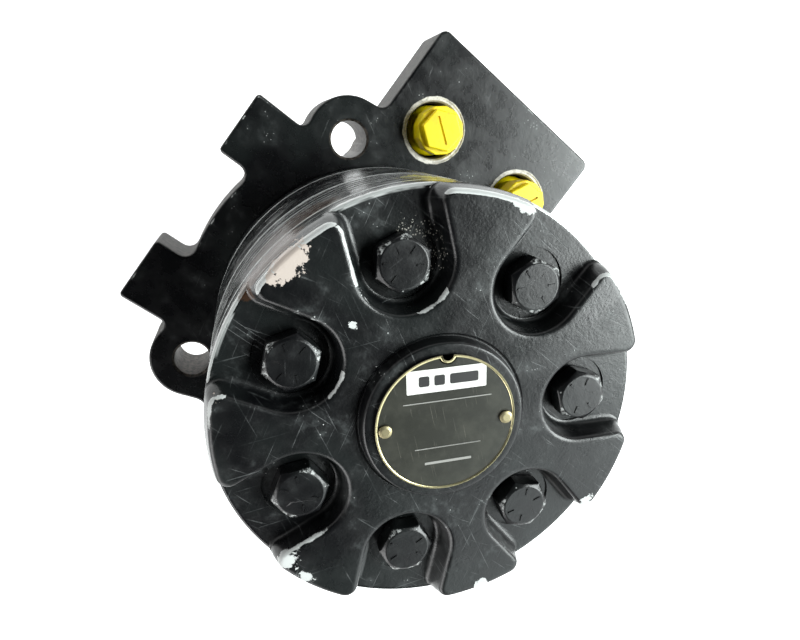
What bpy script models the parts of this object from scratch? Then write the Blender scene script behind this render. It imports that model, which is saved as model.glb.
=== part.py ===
"""Roller-vane orbit hydraulic motor with a four-bolt wheel-mount flange.

The shaft axis is Z. The origin is the centre of the shaft's free end face, the shaft points down and
the end cover is on top. The port block lies toward +Y and the two cast lugs toward -X.
Lengths below are millimetres and are scaled to metres where a mesh is made.
"""

import math

import bmesh
import bpy
import numpy as np
from mathutils import Matrix, Vector

MM = 0.001
GAP = 0.3                      # clearance between touching pieces
TURN = 2 * math.pi

# Levels along the shaft axis, from the shaft's free end up to the cover.
THREAD_TOP = 28.0
TAPER_TOP = 70.0
NOSE_Z = 72.0                  # free end of the bearing hub
SEAL_BORE_Z = 79.5
THRUST_SHOULDER_Z = 106.0
COLLAR_Z = 112.0
PILOT_Z = 118.0
FLANGE_FRONT_Z = 126.0
FLANGE_REAR_Z = 150.0
HOUSING_TOP_Z = 155.0
WEAR_PLATE_HEIGHT = 5.7
STATOR_HEIGHT = 33.7
MANIFOLD_HEIGHT = 18.7
COMMUTATOR_RING_HEIGHT = 9.7
COVER_HEIGHT = 15.1
BOSS_HEIGHT = 3.5

# Round stack and its seven clamp bolts.
STACK_RADIUS = 63.5
STACK_SIDES = 36
BOLT_COUNT = 7
BOLT_CIRCLE_RADIUS = 44.4
BOLT_RADIUS = 4.76             # 3/8 in
BOLT_HOLE_RADIUS = 5.35
BOLT_HEAD_FLATS = 14.29        # 9/16 in
BOLT_HEAD_HEIGHT = 5.9
BOLT_BOTTOM_Z = 136.0
POCKET_DEPTH = 7.9
POCKET_HALF_WIDTH = 12.7
POCKET_DRAFT = 1.0
SEAL_RADIUS = 57.0
SEAL_WIDTH = 2.2
SEAL_GROOVE_HALF = 1.8
SEAL_GROOVE_DEPTH = 1.8
PASSAGE_RADIUS = 3.2
PASSAGE_CIRCLE_RADIUS = 50.0

# Mounting flange outline.
DISC_RADIUS = 76.0
LUG_REACH = 87.5
LUG_INNER = 20.0
LUG_OUTER = 45.0
EAR_RADIUS = 15.8
MOUNT_CIRCLE_RADIUS = 73.8     # 5.81 in bolt circle
MOUNT_HOLE_RADIUS = 6.75
BLOCK_LEFT = -47.6
BLOCK_RIGHT = 34.4
BLOCK_TOP = 106.5
BLOCK_CORNER = 4.0
BLOCK_FRONT_Z = 118.6
PILOT_RADIUS = 53.975          # 4.25 in pilot
HUB_RADIUS = 40.9
PORTS_X = (-27.8, 17.2)
PORTS_Y = 75.2
PORT_RADIUS = 10.15            # 7/8-14 straight thread port
PORT_FACE_RADIUS = 12.3
PORT_DEPTH = 17.0

# Rotor set: six lobes rolling inside seven roller vanes.
LOBES = 6
VANES = LOBES + 1
ECCENTRICITY = 3.3
VANE_CIRCLE_RADIUS = 35.4
VANE_RADIUS = 5.8
ROTOR_CLEARANCE = 0.2
STATOR_BORE = 36.3
SPLINE_TEETH = 12
SPLINE_CLEARANCE = 0.6
LINK_SPLINE_TIP = 15.0
LINK_SPLINE_ROOT = 12.6
LINK_HEAD_HALF = 6.5
LINK_SHANK_RADIUS = 9.0
LINK_NOSE_RADIUS = 8.0
LINK_PIVOT_Z = 118.0           # middle of the spline inside the shaft
COMMUTATOR_RADIUS = 30.0

# Output shaft.
SHAFT_THREAD_RADIUS = 12.4     # 1 in thread
TAPER_SMALL_RADIUS = 13.25
TAPER_LARGE_RADIUS = 15.875    # 1-1/4 in, taper 1:8 on diameter
SHAFT_NECK_RADIUS = 16.0
SEAL_JOURNAL_RADIUS = 19.0
REAR_JOURNAL_RADIUS = 25.0
COLLAR_RADIUS = 29.5
SHAFT_TOP_Z = 142.0
SEAL_BORE_RADIUS = 27.3
CAVITY_RADIUS = 32.8
NEEDLE_RADIUS = 2.4
NEEDLES = 14
NUT_FLATS = 36.5
KEY_WIDTH = 7.94
KEY_DISC_RADIUS = 12.7

# Levels of the clamped stack, each piece a gap above the one below.
WEAR_PLATE_Z = HOUSING_TOP_Z + GAP
STATOR_Z = WEAR_PLATE_Z + WEAR_PLATE_HEIGHT + GAP
MANIFOLD_Z = STATOR_Z + STATOR_HEIGHT + GAP
COMMUTATOR_RING_Z = MANIFOLD_Z + MANIFOLD_HEIGHT + GAP
COVER_Z = COMMUTATOR_RING_Z + COMMUTATOR_RING_HEIGHT + GAP
COVER_FACE_Z = COVER_Z + COVER_HEIGHT
POCKET_FLOOR_Z = COVER_FACE_Z - POCKET_DEPTH
PLATE_Z = COVER_FACE_Z + BOSS_HEIGHT + GAP
ROTOR_MID_Z = STATOR_Z + STATOR_HEIGHT / 2

BOLT_ANGLES = [math.pi / 2 + k * TURN / BOLT_COUNT for k in range(BOLT_COUNT)]
VANE_ANGLES = [angle + math.pi / VANES for angle in BOLT_ANGLES]
LINK_TILT = math.atan2(ECCENTRICITY, ROTOR_MID_Z - LINK_PIVOT_Z)


# ------------------------------------------------------------------ materials

def make_material(name, colour, roughness, metallic):
    material = bpy.data.materials.new(name)
    material.use_nodes = True
    shader = material.node_tree.nodes["Principled BSDF"]
    shader.inputs["Base Color"].default_value = (*colour, 1.0)
    shader.inputs["Roughness"].default_value = roughness
    shader.inputs["Metallic"].default_value = metallic
    material.diffuse_color = (*colour, 1.0)
    return material


# ------------------------------------------------------------------ mesh tools

def polar(radius, angle, z=0.0):
    return (radius * math.cos(angle), radius * math.sin(angle), z)


def finish(name, bm, material, location=(0, 0, 0), parent=None, rotation=(0, 0, 0)):
    """Scale the mesh to metres and place it as an object."""
    bmesh.ops.scale(bm, vec=(MM, MM, MM), verts=bm.verts)
    bmesh.ops.recalc_face_normals(bm, faces=bm.faces)
    mesh = bpy.data.meshes.new(name)
    bm.to_mesh(mesh)
    bm.free()
    mesh.shade_smooth()
    mesh.set_sharp_from_angle(angle=math.radians(32))
    if material:
        mesh.materials.append(material)
    piece = bpy.data.objects.new(name, mesh)
    bpy.context.scene.collection.objects.link(piece)
    piece.location = Vector(location) * MM
    piece.rotation_euler = rotation
    piece.parent = parent
    return piece


def repeat(name, bm, material, places, parent=None):
    """Copies of one piece, numbered from 1, that share a mesh."""
    first = finish(f"{name}_1", bm, material, places[0], parent)
    for number, place in enumerate(places[1:], 2):
        copy = first.copy()
        copy.name = f"{name}_{number}"
        copy.location = Vector(place) * MM
        bpy.context.scene.collection.objects.link(copy)


def bridge_rings(bm, rings, closed=False):
    """Skin a list of vertex rings; a ring of one vertex is a point on the axis."""
    pairs = list(zip(rings, rings[1:]))
    if closed:
        pairs.append((rings[-1], rings[0]))
    for low, high in pairs:
        count = max(len(low), len(high))
        if count == 1:
            continue
        for i in range(count):
            j = (i + 1) % count
            corners = [low[i % len(low)], low[j % len(low)], high[j % len(high)], high[i % len(high)]]
            bm.faces.new(list(dict.fromkeys(corners)))


def add_turned(bm, profile, sides, centre=(0.0, 0.0), phase=0.0):
    """Turn a (radius, z) profile about Z. It starts and ends on the axis, or closes on itself."""
    rings = []
    for radius, z in profile:
        if radius == 0:
            rings.append([bm.verts.new((centre[0], centre[1], z))])
            continue
        points = [polar(radius, TURN * i / sides + phase, z) for i in range(sides)]
        rings.append([bm.verts.new((centre[0] + x, centre[1] + y, z)) for x, y, z in points])
    bridge_rings(bm, rings, closed=profile[0][0] != 0)
    return bm


def turned(profile, sides):
    return add_turned(bmesh.new(), profile, sides)


def add_cylinder(bm, radius, z0, z1, sides, centre=(0.0, 0.0)):
    return add_turned(bm, [(0, z0), (radius, z0), (radius, z1), (0, z1)], sides, centre)


def add_loft(bm, low_outline, z0, high_outline, z1):
    """Join two outlines of equal point count with flat ends."""
    low = [bm.verts.new((x, y, z0)) for x, y in low_outline]
    high = [bm.verts.new((x, y, z1)) for x, y in high_outline]
    bm.faces.new(low)
    bm.faces.new(high)
    bridge_rings(bm, [low, high])
    return bm


def add_prism(bm, outline, z0, z1):
    return add_loft(bm, outline, z0, outline, z1)


def rod_between(bm, start, end, radius, sides):
    """A plain cylinder from one point to another."""
    start, end = Vector(start), Vector(end)
    turn = Vector((0, 0, 1)).rotation_difference(end - start).to_matrix().to_4x4()
    placed = Matrix.Translation((start + end) / 2) @ turn
    bmesh.ops.create_cone(bm, cap_ends=True, segments=sides, radius1=radius, radius2=radius,
                          depth=(end - start).length, matrix=placed)


def combine(piece, name, bm, operation="DIFFERENCE"):
    """Cut a piece with a tool mesh, or join the tool to it."""
    tool = finish("tool_" + name, bm, None, parent=piece)
    tool.hide_render = True
    tool.display_type = "WIRE"
    modifier = piece.modifiers.new(name, "BOOLEAN")
    modifier.operation = operation
    modifier.solver = "EXACT"
    modifier.object = tool


def arc(centre, radius, start, end, steps):
    """Points on an arc; angles in degrees, both ends included."""
    points = []
    for i in range(steps + 1):
        angle = math.radians(start + (end - start) * i / steps)
        points.append((centre[0] + radius * math.cos(angle), centre[1] + radius * math.sin(angle)))
    return points


def hexagon_ring(flats, z):
    """Twelve points round a hexagon, corners and flat middles in turn."""
    points = []
    for i in range(12):
        angle = TURN * i / 12
        radius = flats / 2 / (math.cos(math.pi / 6) if i % 2 == 0 else 1.0)
        points.append(polar(radius, angle, z))
    return points


def circle_ring(radius, z, sides=12):
    return [polar(radius, TURN * i / sides, z) for i in range(sides)]


def add_rings(bm, rings, offset=(0.0, 0.0)):
    """Skin rings of points into a closed body with a flat face at each end."""
    placed = [[bm.verts.new((x + offset[0], y + offset[1], z)) for x, y, z in ring] for ring in rings]
    bridge_rings(bm, placed)
    bm.faces.new(placed[0])
    bm.faces.new(placed[-1])
    return bm


# ------------------------------------------------------------------ outlines

def flange_outline():
    """Mounting flange seen from the cover: block at +Y, lugs at -X, four ears on the diagonals."""
    ear = MOUNT_CIRCLE_RADIUS * math.sqrt(0.5)
    lug_root = math.sqrt(DISC_RADIUS ** 2 - (LUG_INNER - 2.5) ** 2)
    points = arc((BLOCK_RIGHT - BLOCK_CORNER, BLOCK_TOP - BLOCK_CORNER), BLOCK_CORNER, 0, 90, 4)
    points += arc((BLOCK_LEFT + BLOCK_CORNER, BLOCK_TOP - BLOCK_CORNER), BLOCK_CORNER, 90, 180, 4)
    points += [(BLOCK_LEFT, ear + EAR_RADIUS + 5.0), (BLOCK_LEFT - 1.2, ear + EAR_RADIUS + 1.4)]
    points += arc((-ear, ear), EAR_RADIUS, 100, 196, 8)
    points += [(-ear - EAR_RADIUS - 1.6, LUG_OUTER + 0.6), (-ear - EAR_RADIUS - 4.6, LUG_OUTER)]
    points += [(-LUG_REACH + 1.0, LUG_OUTER), (-LUG_REACH, LUG_OUTER - 1.0)]
    points += [(-LUG_REACH, LUG_INNER + 1.0), (-LUG_REACH + 1.0, LUG_INNER)]
    points += [(-lug_root - 4.0, LUG_INNER), (-lug_root - 1.0, LUG_INNER - 1.0)]
    half_gap = math.degrees(math.asin((LUG_INNER - 2.5) / DISC_RADIUS))
    points += arc((0, 0), DISC_RADIUS, 180 - half_gap, 180 + half_gap, 6)
    points += [(-lug_root - 1.0, -LUG_INNER + 1.0), (-lug_root - 4.0, -LUG_INNER)]
    points += [(-LUG_REACH + 1.0, -LUG_INNER), (-LUG_REACH, -LUG_INNER - 1.0)]
    points += [(-LUG_REACH, -LUG_OUTER + 1.0), (-LUG_REACH + 1.0, -LUG_OUTER)]
    points += [(-ear - EAR_RADIUS - 4.6, -LUG_OUTER), (-ear - EAR_RADIUS - 1.6, -LUG_OUTER - 0.6)]
    points += arc((-ear, -ear), EAR_RADIUS, 164, 285, 10)
    points += arc((0, 0), DISC_RADIUS, 242, 298, 10)
    points += arc((ear, -ear), EAR_RADIUS, 255, 375, 10)
    points += arc((0, 0), DISC_RADIUS, 332, 388, 10)
    points += arc((ear, ear), EAR_RADIUS, -15, 104, 10)
    points += [(BLOCK_RIGHT + 1.6, ear + EAR_RADIUS + 4.0), (BLOCK_RIGHT, ear + EAR_RADIUS + 8.0)]
    return points


def block_outline(inset):
    """The thick part of the port block, drafted in from the flange outline."""
    low = 30.0
    left, right, top = BLOCK_LEFT + inset, BLOCK_RIGHT - inset, BLOCK_TOP - inset
    points = arc((right - BLOCK_CORNER, top - BLOCK_CORNER), BLOCK_CORNER, 0, 90, 4)
    points += arc((left + BLOCK_CORNER, top - BLOCK_CORNER), BLOCK_CORNER, 90, 180, 4)
    return points + [(left, low), (right, low)]


def pocket_outline(angle, half_width):
    """U-shaped bolt pocket that opens at the cover's rim."""
    outline = arc((BOLT_CIRCLE_RADIUS, 0), half_width, 90, 270, 10)
    outline += [(STACK_RADIUS + 8, -half_width), (STACK_RADIUS + 8, half_width)]
    turn = Matrix.Rotation(angle, 2)
    return [tuple(turn @ Vector(point)) for point in outline]


def evenly_spaced(points, count):
    """Points at equal steps along a closed line."""
    loop = np.array(points + points[:1])
    along = np.concatenate(([0.0], np.cumsum(np.hypot(*np.diff(loop, axis=0).T))))
    steps = np.linspace(0.0, along[-1], count, endpoint=False)
    return list(zip(np.interp(steps, along, loop[:, 0]), np.interp(steps, along, loop[:, 1])))


def rotor_outline():
    """Six-lobe rotor: the vane centres' path in the rotor's frame, moved in by the vane's radius."""
    start = VANES * VANE_ANGLES[0] / LOBES
    points = []
    samples = 1200
    for i in range(samples):
        a = TURN * i / samples
        x = VANE_CIRCLE_RADIUS * math.cos(a) - ECCENTRICITY * math.cos(VANES * a)
        y = VANE_CIRCLE_RADIUS * math.sin(a) - ECCENTRICITY * math.sin(VANES * a)
        dx = -VANE_CIRCLE_RADIUS * math.sin(a) + VANES * ECCENTRICITY * math.sin(VANES * a)
        dy = VANE_CIRCLE_RADIUS * math.cos(a) - VANES * ECCENTRICITY * math.cos(VANES * a)
        reach = (VANE_RADIUS + ROTOR_CLEARANCE) / math.hypot(dx, dy)
        point = Matrix.Rotation(start, 2) @ Vector((x - dy * reach, y + dx * reach))
        points.append(tuple(point))
    return evenly_spaced(points, 84)


def spline_outline(tip, root, tip_half, root_half):
    """Straight-sided teeth; half widths are degrees either side of a tooth's middle."""
    points = []
    for tooth in range(SPLINE_TEETH):
        middle = 360 / SPLINE_TEETH * tooth
        for radius, offset in ((root, -root_half), (tip, -tip_half), (tip, tip_half), (root, root_half)):
            points.append(polar(radius, math.radians(middle + offset))[:2])
    return points


def male_spline():
    return spline_outline(LINK_SPLINE_TIP, LINK_SPLINE_ROOT, 4.8, 8.4)


def female_spline():
    return spline_outline(LINK_SPLINE_TIP + SPLINE_CLEARANCE, LINK_SPLINE_ROOT + SPLINE_CLEARANCE,
                          7.4, 11.2)


# ------------------------------------------------------------------ housing and clamped stack

def drill_bolt_holes(piece, z0, z1, radius=BOLT_HOLE_RADIUS):
    bm = bmesh.new()
    for angle in BOLT_ANGLES:
        add_cylinder(bm, radius, z0, z1, 10, polar(BOLT_CIRCLE_RADIUS, angle)[:2])
    combine(piece, piece.name + "_bolt_holes", bm)


def drill_passage(piece, z0, z1):
    """Oil passage from the high-pressure port up to the commutator, between two bolts."""
    bm = bmesh.new()
    add_cylinder(bm, PASSAGE_RADIUS, z0, z1, 12, polar(PASSAGE_CIRCLE_RADIUS, VANE_ANGLES[0])[:2])
    combine(piece, piece.name + "_passage", bm)


def make_housing(material):
    core = [(0, NOSE_Z), (HUB_RADIUS - 1, NOSE_Z), (HUB_RADIUS, NOSE_Z + 1), (HUB_RADIUS, PILOT_Z - 4),
            (HUB_RADIUS + 2.6, PILOT_Z), (PILOT_RADIUS - 1, PILOT_Z), (PILOT_RADIUS, PILOT_Z + 1),
            (PILOT_RADIUS, FLANGE_REAR_Z - 8), (STACK_RADIUS, FLANGE_REAR_Z - 8),
            (STACK_RADIUS, HOUSING_TOP_Z), (0, HOUSING_TOP_Z)]
    housing = finish("housing", turned(core, STACK_SIDES), material)
    flange = add_prism(bmesh.new(), flange_outline(), FLANGE_FRONT_Z, FLANGE_REAR_Z)
    combine(housing, "flange", flange, "UNION")
    block = add_loft(bmesh.new(), block_outline(1.6), BLOCK_FRONT_Z, block_outline(0.6), FLANGE_REAR_Z - 6)
    combine(housing, "port_block", block, "UNION")

    bore = [(0, NOSE_Z - 1), (24.3, NOSE_Z - 1), (24.3, NOSE_Z + 4.5), (16.9, NOSE_Z + 4.5),
            (16.9, SEAL_BORE_Z), (SEAL_BORE_RADIUS, SEAL_BORE_Z), (SEAL_BORE_RADIUS, THRUST_SHOULDER_Z),
            (CAVITY_RADIUS, THRUST_SHOULDER_Z), (CAVITY_RADIUS, HOUSING_TOP_Z + 1),
            (0, HOUSING_TOP_Z + 1)]
    hollow = add_turned(bmesh.new(), bore, 32, phase=0.021)
    groove_in, groove_out = SEAL_RADIUS - SEAL_GROOVE_HALF, SEAL_RADIUS + SEAL_GROOVE_HALF
    groove_floor = HOUSING_TOP_Z - SEAL_GROOVE_DEPTH
    groove = [(groove_in, groove_floor), (groove_out, groove_floor), (groove_out, HOUSING_TOP_Z + 1),
              (groove_in, HOUSING_TOP_Z + 1)]
    add_turned(hollow, groove, 40, phase=0.013)
    combine(housing, "bore_and_seal_groove", hollow)

    mount_holes = bmesh.new()
    for k in range(4):
        centre = polar(MOUNT_CIRCLE_RADIUS, TURN / 8 + k * TURN / 4)[:2]
        add_cylinder(mount_holes, MOUNT_HOLE_RADIUS, FLANGE_FRONT_Z - 20, FLANGE_REAR_Z + 1, 16, centre)
    combine(housing, "mount_holes", mount_holes)

    ports = bmesh.new()
    face = FLANGE_REAR_Z - 0.4
    port = [(0, FLANGE_REAR_Z - PORT_DEPTH), (PORT_RADIUS, FLANGE_REAR_Z - PORT_DEPTH),
            (PORT_RADIUS, face - 2.2), (PORT_RADIUS + 1.0, face), (PORT_FACE_RADIUS, face),
            (PORT_FACE_RADIUS, FLANGE_REAR_Z + 1), (0, FLANGE_REAR_Z + 1)]
    for x in PORTS_X:
        add_turned(ports, port, 20, (x, PORTS_Y))
    combine(housing, "ports", ports)

    gallery_z = FLANGE_REAR_Z - 12.5
    up_passage = polar(PASSAGE_CIRCLE_RADIUS, VANE_ANGLES[0], gallery_z)
    for name, x, end in (("gallery_1", PORTS_X[0], up_passage), ("gallery_2", PORTS_X[1], (11, 26, gallery_z))):
        gallery = bmesh.new()
        rod_between(gallery, (x, PORTS_Y, gallery_z), end, PASSAGE_RADIUS + 0.4, 12)
        combine(housing, name, gallery)
    drill_bolt_holes(housing, BOLT_BOTTOM_Z - 3, HOUSING_TOP_Z + 1)
    drill_passage(housing, gallery_z - 2, HOUSING_TOP_Z + 1)


def plate_profile(bore, height):
    """Plate of the stack: a plain ring with a seal groove in its top face."""
    floor = height - SEAL_GROOVE_DEPTH
    groove_in, groove_out = SEAL_RADIUS - SEAL_GROOVE_HALF, SEAL_RADIUS + SEAL_GROOVE_HALF
    return [(bore, 0), (STACK_RADIUS, 0), (STACK_RADIUS, height), (groove_out, height), (groove_out, floor),
            (groove_in, floor), (groove_in, height), (bore, height)]


def make_wear_plate(material):
    profile = plate_profile(17.5, WEAR_PLATE_HEIGHT)
    plate = finish("wear_plate", turned(profile, STACK_SIDES), material, (0, 0, WEAR_PLATE_Z))
    drill_bolt_holes(plate, -1, WEAR_PLATE_HEIGHT + 1)
    drill_passage(plate, -1, WEAR_PLATE_HEIGHT + 1)


def make_stator_ring(material):
    profile = plate_profile(STATOR_BORE, STATOR_HEIGHT)
    stator = finish("stator_ring", turned(profile, STACK_SIDES), material, (0, 0, STATOR_Z))
    seats = bmesh.new()
    for angle in VANE_ANGLES:
        centre = polar(VANE_CIRCLE_RADIUS, angle)[:2]
        add_cylinder(seats, VANE_RADIUS + 0.4, -1, STATOR_HEIGHT + 1, 18, centre)
    combine(stator, "vane_seats", seats)
    drill_bolt_holes(stator, -1, STATOR_HEIGHT + 1)
    drill_passage(stator, -1, STATOR_HEIGHT + 1)


def make_manifold(material):
    profile = plate_profile(14.5, MANIFOLD_HEIGHT)
    manifold = finish("manifold", turned(profile, STACK_SIDES), material, (0, 0, MANIFOLD_Z))
    drill_bolt_holes(manifold, -1, MANIFOLD_HEIGHT + 1)
    drill_passage(manifold, -1, MANIFOLD_HEIGHT + 1)
    windows = bmesh.new()
    for angle in BOLT_ANGLES:
        add_cylinder(windows, 2.4, -1, MANIFOLD_HEIGHT + 1, 10, polar(30.5, angle)[:2])
    combine(manifold, "chamber_windows", windows)


def make_commutator_ring(material):
    bore = COMMUTATOR_RADIUS + commutator_offset() + 0.6
    profile = plate_profile(bore, COMMUTATOR_RING_HEIGHT)
    ring = finish("commutator_ring", turned(profile, STACK_SIDES), material, (0, 0, COMMUTATOR_RING_Z))
    drill_bolt_holes(ring, -1, COMMUTATOR_RING_HEIGHT + 1)


def make_end_cover(material):
    profile = [(0, 0), (STACK_RADIUS - 0.4, 0), (STACK_RADIUS, 0.5), (STACK_RADIUS, 3.6),
               (STACK_RADIUS - 1.0, COVER_HEIGHT - 2.0), (STACK_RADIUS - 2.2, COVER_HEIGHT),
               (23.4, COVER_HEIGHT), (20.9, COVER_HEIGHT + BOSS_HEIGHT), (0, COVER_HEIGHT + BOSS_HEIGHT)]
    cover = finish("end_cover", turned(profile, STACK_SIDES), material, (0, 0, COVER_Z))
    pockets = bmesh.new()
    floor = COVER_HEIGHT - POCKET_DEPTH
    for angle in BOLT_ANGLES:
        low = pocket_outline(angle, POCKET_HALF_WIDTH - POCKET_DRAFT)
        high = pocket_outline(angle, POCKET_HALF_WIDTH + 0.3)
        add_loft(pockets, low, floor, high, COVER_HEIGHT + 2)
    combine(cover, "bolt_pockets", pockets)
    drill_bolt_holes(cover, -1, COVER_HEIGHT)
    pin_holes = bmesh.new()
    for x, y in rivet_centres():
        add_cylinder(pin_holes, 1.7, COVER_HEIGHT - 1, COVER_HEIGHT + BOSS_HEIGHT + 1, 10, (x, y))
    combine(cover, "pin_holes", pin_holes)


def make_body_seals(material):
    """Square-section ring in the top groove of the housing and of each plate."""
    tops = (HOUSING_TOP_Z, WEAR_PLATE_Z + WEAR_PLATE_HEIGHT, STATOR_Z + STATOR_HEIGHT,
            MANIFOLD_Z + MANIFOLD_HEIGHT, COMMUTATOR_RING_Z + COMMUTATOR_RING_HEIGHT)
    inner, outer = SEAL_RADIUS - SEAL_WIDTH / 2, SEAL_RADIUS + SEAL_WIDTH / 2
    height = SEAL_GROOVE_DEPTH - GAP
    profile = [(inner, 0), (outer, 0), (outer, height), (inner, height)]
    for number, top in enumerate(tops, 1):
        finish(f"body_seal_{number}", turned(profile, 30), material, (0, 0, top - height))


def make_cover_bolts(material):
    """Hexagon-head bolts with their heads down in the cover's pockets."""
    seat = POCKET_FLOOR_Z + GAP
    length = seat - BOLT_BOTTOM_Z
    rings = [circle_ring(BOLT_RADIUS, -length), circle_ring(BOLT_RADIUS, 0), hexagon_ring(BOLT_HEAD_FLATS, 0),
             hexagon_ring(BOLT_HEAD_FLATS, BOLT_HEAD_HEIGHT - 1.0), circle_ring(6.7, BOLT_HEAD_HEIGHT)]
    places = [polar(BOLT_CIRCLE_RADIUS, angle, seat) for angle in BOLT_ANGLES]
    repeat("cover_bolt", add_rings(bmesh.new(), rings), material, places)


# ------------------------------------------------------------------ nameplate and port plugs

def rivet_centres():
    return [polar(17.2, math.radians(angle))[:2] for angle in (38.5, 218.5)]


def make_nameplate(plate_material, rivet_material):
    thickness = 0.9
    plate = finish("nameplate", add_cylinder(bmesh.new(), 19.9, 0, thickness, 48), plate_material,
                   (0, 0, PLATE_Z))
    holes = bmesh.new()
    for centre in rivet_centres():
        add_cylinder(holes, 1.7, -1, thickness + 1, 10, centre)
    add_cylinder(holes, 1.6, -1, thickness + 1, 12, polar(19.9, math.radians(128))[:2])
    combine(plate, "rivet_holes_and_notch", holes)

    head = thickness + GAP
    rings = [circle_ring(1.3, -BOSS_HEIGHT + 0.6, 10), circle_ring(1.3, head, 10), circle_ring(2.2, head, 10),
             circle_ring(2.0, head + 0.5, 10), circle_ring(1.1, head + 0.9, 10)]
    places = [(x, y, PLATE_Z) for x, y in rivet_centres()]
    repeat("nameplate_rivet", add_rings(bmesh.new(), rings), rivet_material, places)


def make_port_plugs(material):
    """Moulded shipping plugs: a threaded body, a round collar and a hexagon on top."""
    rings = [circle_ring(9.6, -13, 16), circle_ring(9.6, -2, 16), circle_ring(8.2, -1, 16),
             circle_ring(8.2, 2, 16), circle_ring(8.8, 2.6, 16), circle_ring(8.8, 8.6, 16)]
    hexagon = [hexagon_ring(13.8, 8.0), hexagon_ring(13.8, 10.4), hexagon_ring(13.2, 10.8)]
    for number, x in enumerate(PORTS_X, 1):
        plug = finish(f"port_plug_{number}", add_rings(bmesh.new(), rings), material,
                      (x, PORTS_Y, FLANGE_REAR_Z), rotation=(0, 0, math.radians(14 * number)))
        combine(plug, f"plug_hexagon_{number}", add_rings(bmesh.new(), hexagon), "UNION")
        slot = bmesh.new()
        bmesh.ops.create_cube(slot, size=1, matrix=Matrix.Translation((0, 0, 10.8))
                              @ Matrix.Diagonal((11.5, 1.0, 1.8, 1)))
        combine(plug, f"plug_slot_{number}", slot)


# ------------------------------------------------------------------ output shaft and its bearings

def make_output_shaft(material, axis_empty):
    profile = [(0, 0), (SHAFT_THREAD_RADIUS - 1.2, 0), (SHAFT_THREAD_RADIUS, 1.2),
               (SHAFT_THREAD_RADIUS, THREAD_TOP - 3), (SHAFT_THREAD_RADIUS - 0.9, THREAD_TOP - 2.6),
               (SHAFT_THREAD_RADIUS - 0.9, THREAD_TOP - 0.8), (TAPER_SMALL_RADIUS, THREAD_TOP),
               (TAPER_LARGE_RADIUS, TAPER_TOP), (SHAFT_NECK_RADIUS, TAPER_TOP + 0.6),
               (SHAFT_NECK_RADIUS, SEAL_BORE_Z + 0.5), (SEAL_JOURNAL_RADIUS, SEAL_BORE_Z + 1.4),
               (SEAL_JOURNAL_RADIUS, COLLAR_Z), (COLLAR_RADIUS, COLLAR_Z), (COLLAR_RADIUS, COLLAR_Z + 3.4),
               (REAR_JOURNAL_RADIUS, COLLAR_Z + 3.6), (REAR_JOURNAL_RADIUS, SHAFT_TOP_Z - 1),
               (REAR_JOURNAL_RADIUS - 1, SHAFT_TOP_Z), (0, SHAFT_TOP_Z)]
    shaft = finish("output_shaft", turned(profile, 24), material, parent=axis_empty)
    combine(shaft, "inner_spline", add_prism(bmesh.new(), female_spline(), LINK_PIVOT_Z - 12, SHAFT_TOP_Z + 1))
    key_seat = bmesh.new()
    x, z = key_centre()
    half = KEY_WIDTH / 2 + GAP
    rod_between(key_seat, (x, -half, z), (x, half, z), KEY_DISC_RADIUS + GAP, 28)
    combine(shaft, "key_seat", key_seat)
    pin_hole = bmesh.new()
    rod_between(pin_hole, (-20, 0, 8), (20, 0, 8), 2.3, 12)
    combine(shaft, "cotter_hole", pin_hole)


def key_centre():
    """Centre (x, z) of the Woodruff key's disc, outside the taper's surface."""
    middle = (THREAD_TOP + TAPER_TOP) / 2
    surface = (TAPER_SMALL_RADIUS + TAPER_LARGE_RADIUS) / 2
    return surface + 6.2, middle


def make_shaft_key(material, axis_empty):
    """Half-moon key: the part of a disc below its flat top, which stands proud of the taper."""
    x, z = key_centre()
    below = 2.4
    half_angle = math.degrees(math.acos(below / KEY_DISC_RADIUS))
    side = arc((0, 0), KEY_DISC_RADIUS, 180 - half_angle, 180 + half_angle, 12)
    bm = add_prism(bmesh.new(), side, -KEY_WIDTH / 2, KEY_WIDTH / 2)
    finish("shaft_key", bm, material, (x, 0, z), axis_empty, (math.pi / 2, 0, 0))


def make_castle_nut(material, axis_empty):
    low, high = 3.0, THREAD_TOP - 4
    rings = [circle_ring(15.2, low), circle_ring(16.4, low + 1.0), circle_ring(16.4, low + 6.5),
             hexagon_ring(NUT_FLATS, low + 8.0), hexagon_ring(NUT_FLATS, high - 1.4), circle_ring(17.6, high)]
    nut = finish("castle_nut", add_rings(bmesh.new(), rings), material, parent=axis_empty)
    combine(nut, "nut_bore", add_cylinder(bmesh.new(), 12.85, low - 1, high + 1, 30))
    slots = bmesh.new()
    for k in range(3):
        turn = Matrix.Rotation(k * TURN / 6, 4, "Z")
        size = Matrix.Diagonal((50, 4.6, 14 - 0.02 * k, 1))
        bmesh.ops.create_cube(slots, size=1, matrix=turn @ Matrix.Translation((0, 0, low - 0.6)) @ size)
    combine(nut, "nut_slots", slots)
    nut.modifiers["nut_slots"].use_self = True


def needle_cage_rings(circle_radius, z):
    """Inner and outer outline of a ring of needle rollers joined by the thin web of their cage."""
    web = 0.7
    inner, outer = [], []
    for k in range(NEEDLES):
        for offset in (-0.9, -0.55, 0.0, 0.55, 0.9):
            angle = TURN * k / NEEDLES + offset * NEEDLE_RADIUS / circle_radius
            half = max(web, NEEDLE_RADIUS * math.sqrt(1 - offset ** 2))
            inner.append(polar(circle_radius - half, angle, z))
            outer.append(polar(circle_radius + half, angle, z))
    return inner, outer


def make_needle_cage(name, material, circle_radius, z0, z1, axis_empty):
    bm = bmesh.new()
    low_inner, low_outer = needle_cage_rings(circle_radius, z0)
    high_inner, high_outer = needle_cage_rings(circle_radius, z1)
    rings = [[bm.verts.new(point) for point in ring] for ring in (low_inner, low_outer, high_outer, high_inner)]
    bridge_rings(bm, rings, closed=True)
    finish(name, bm, material, parent=axis_empty)


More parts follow.
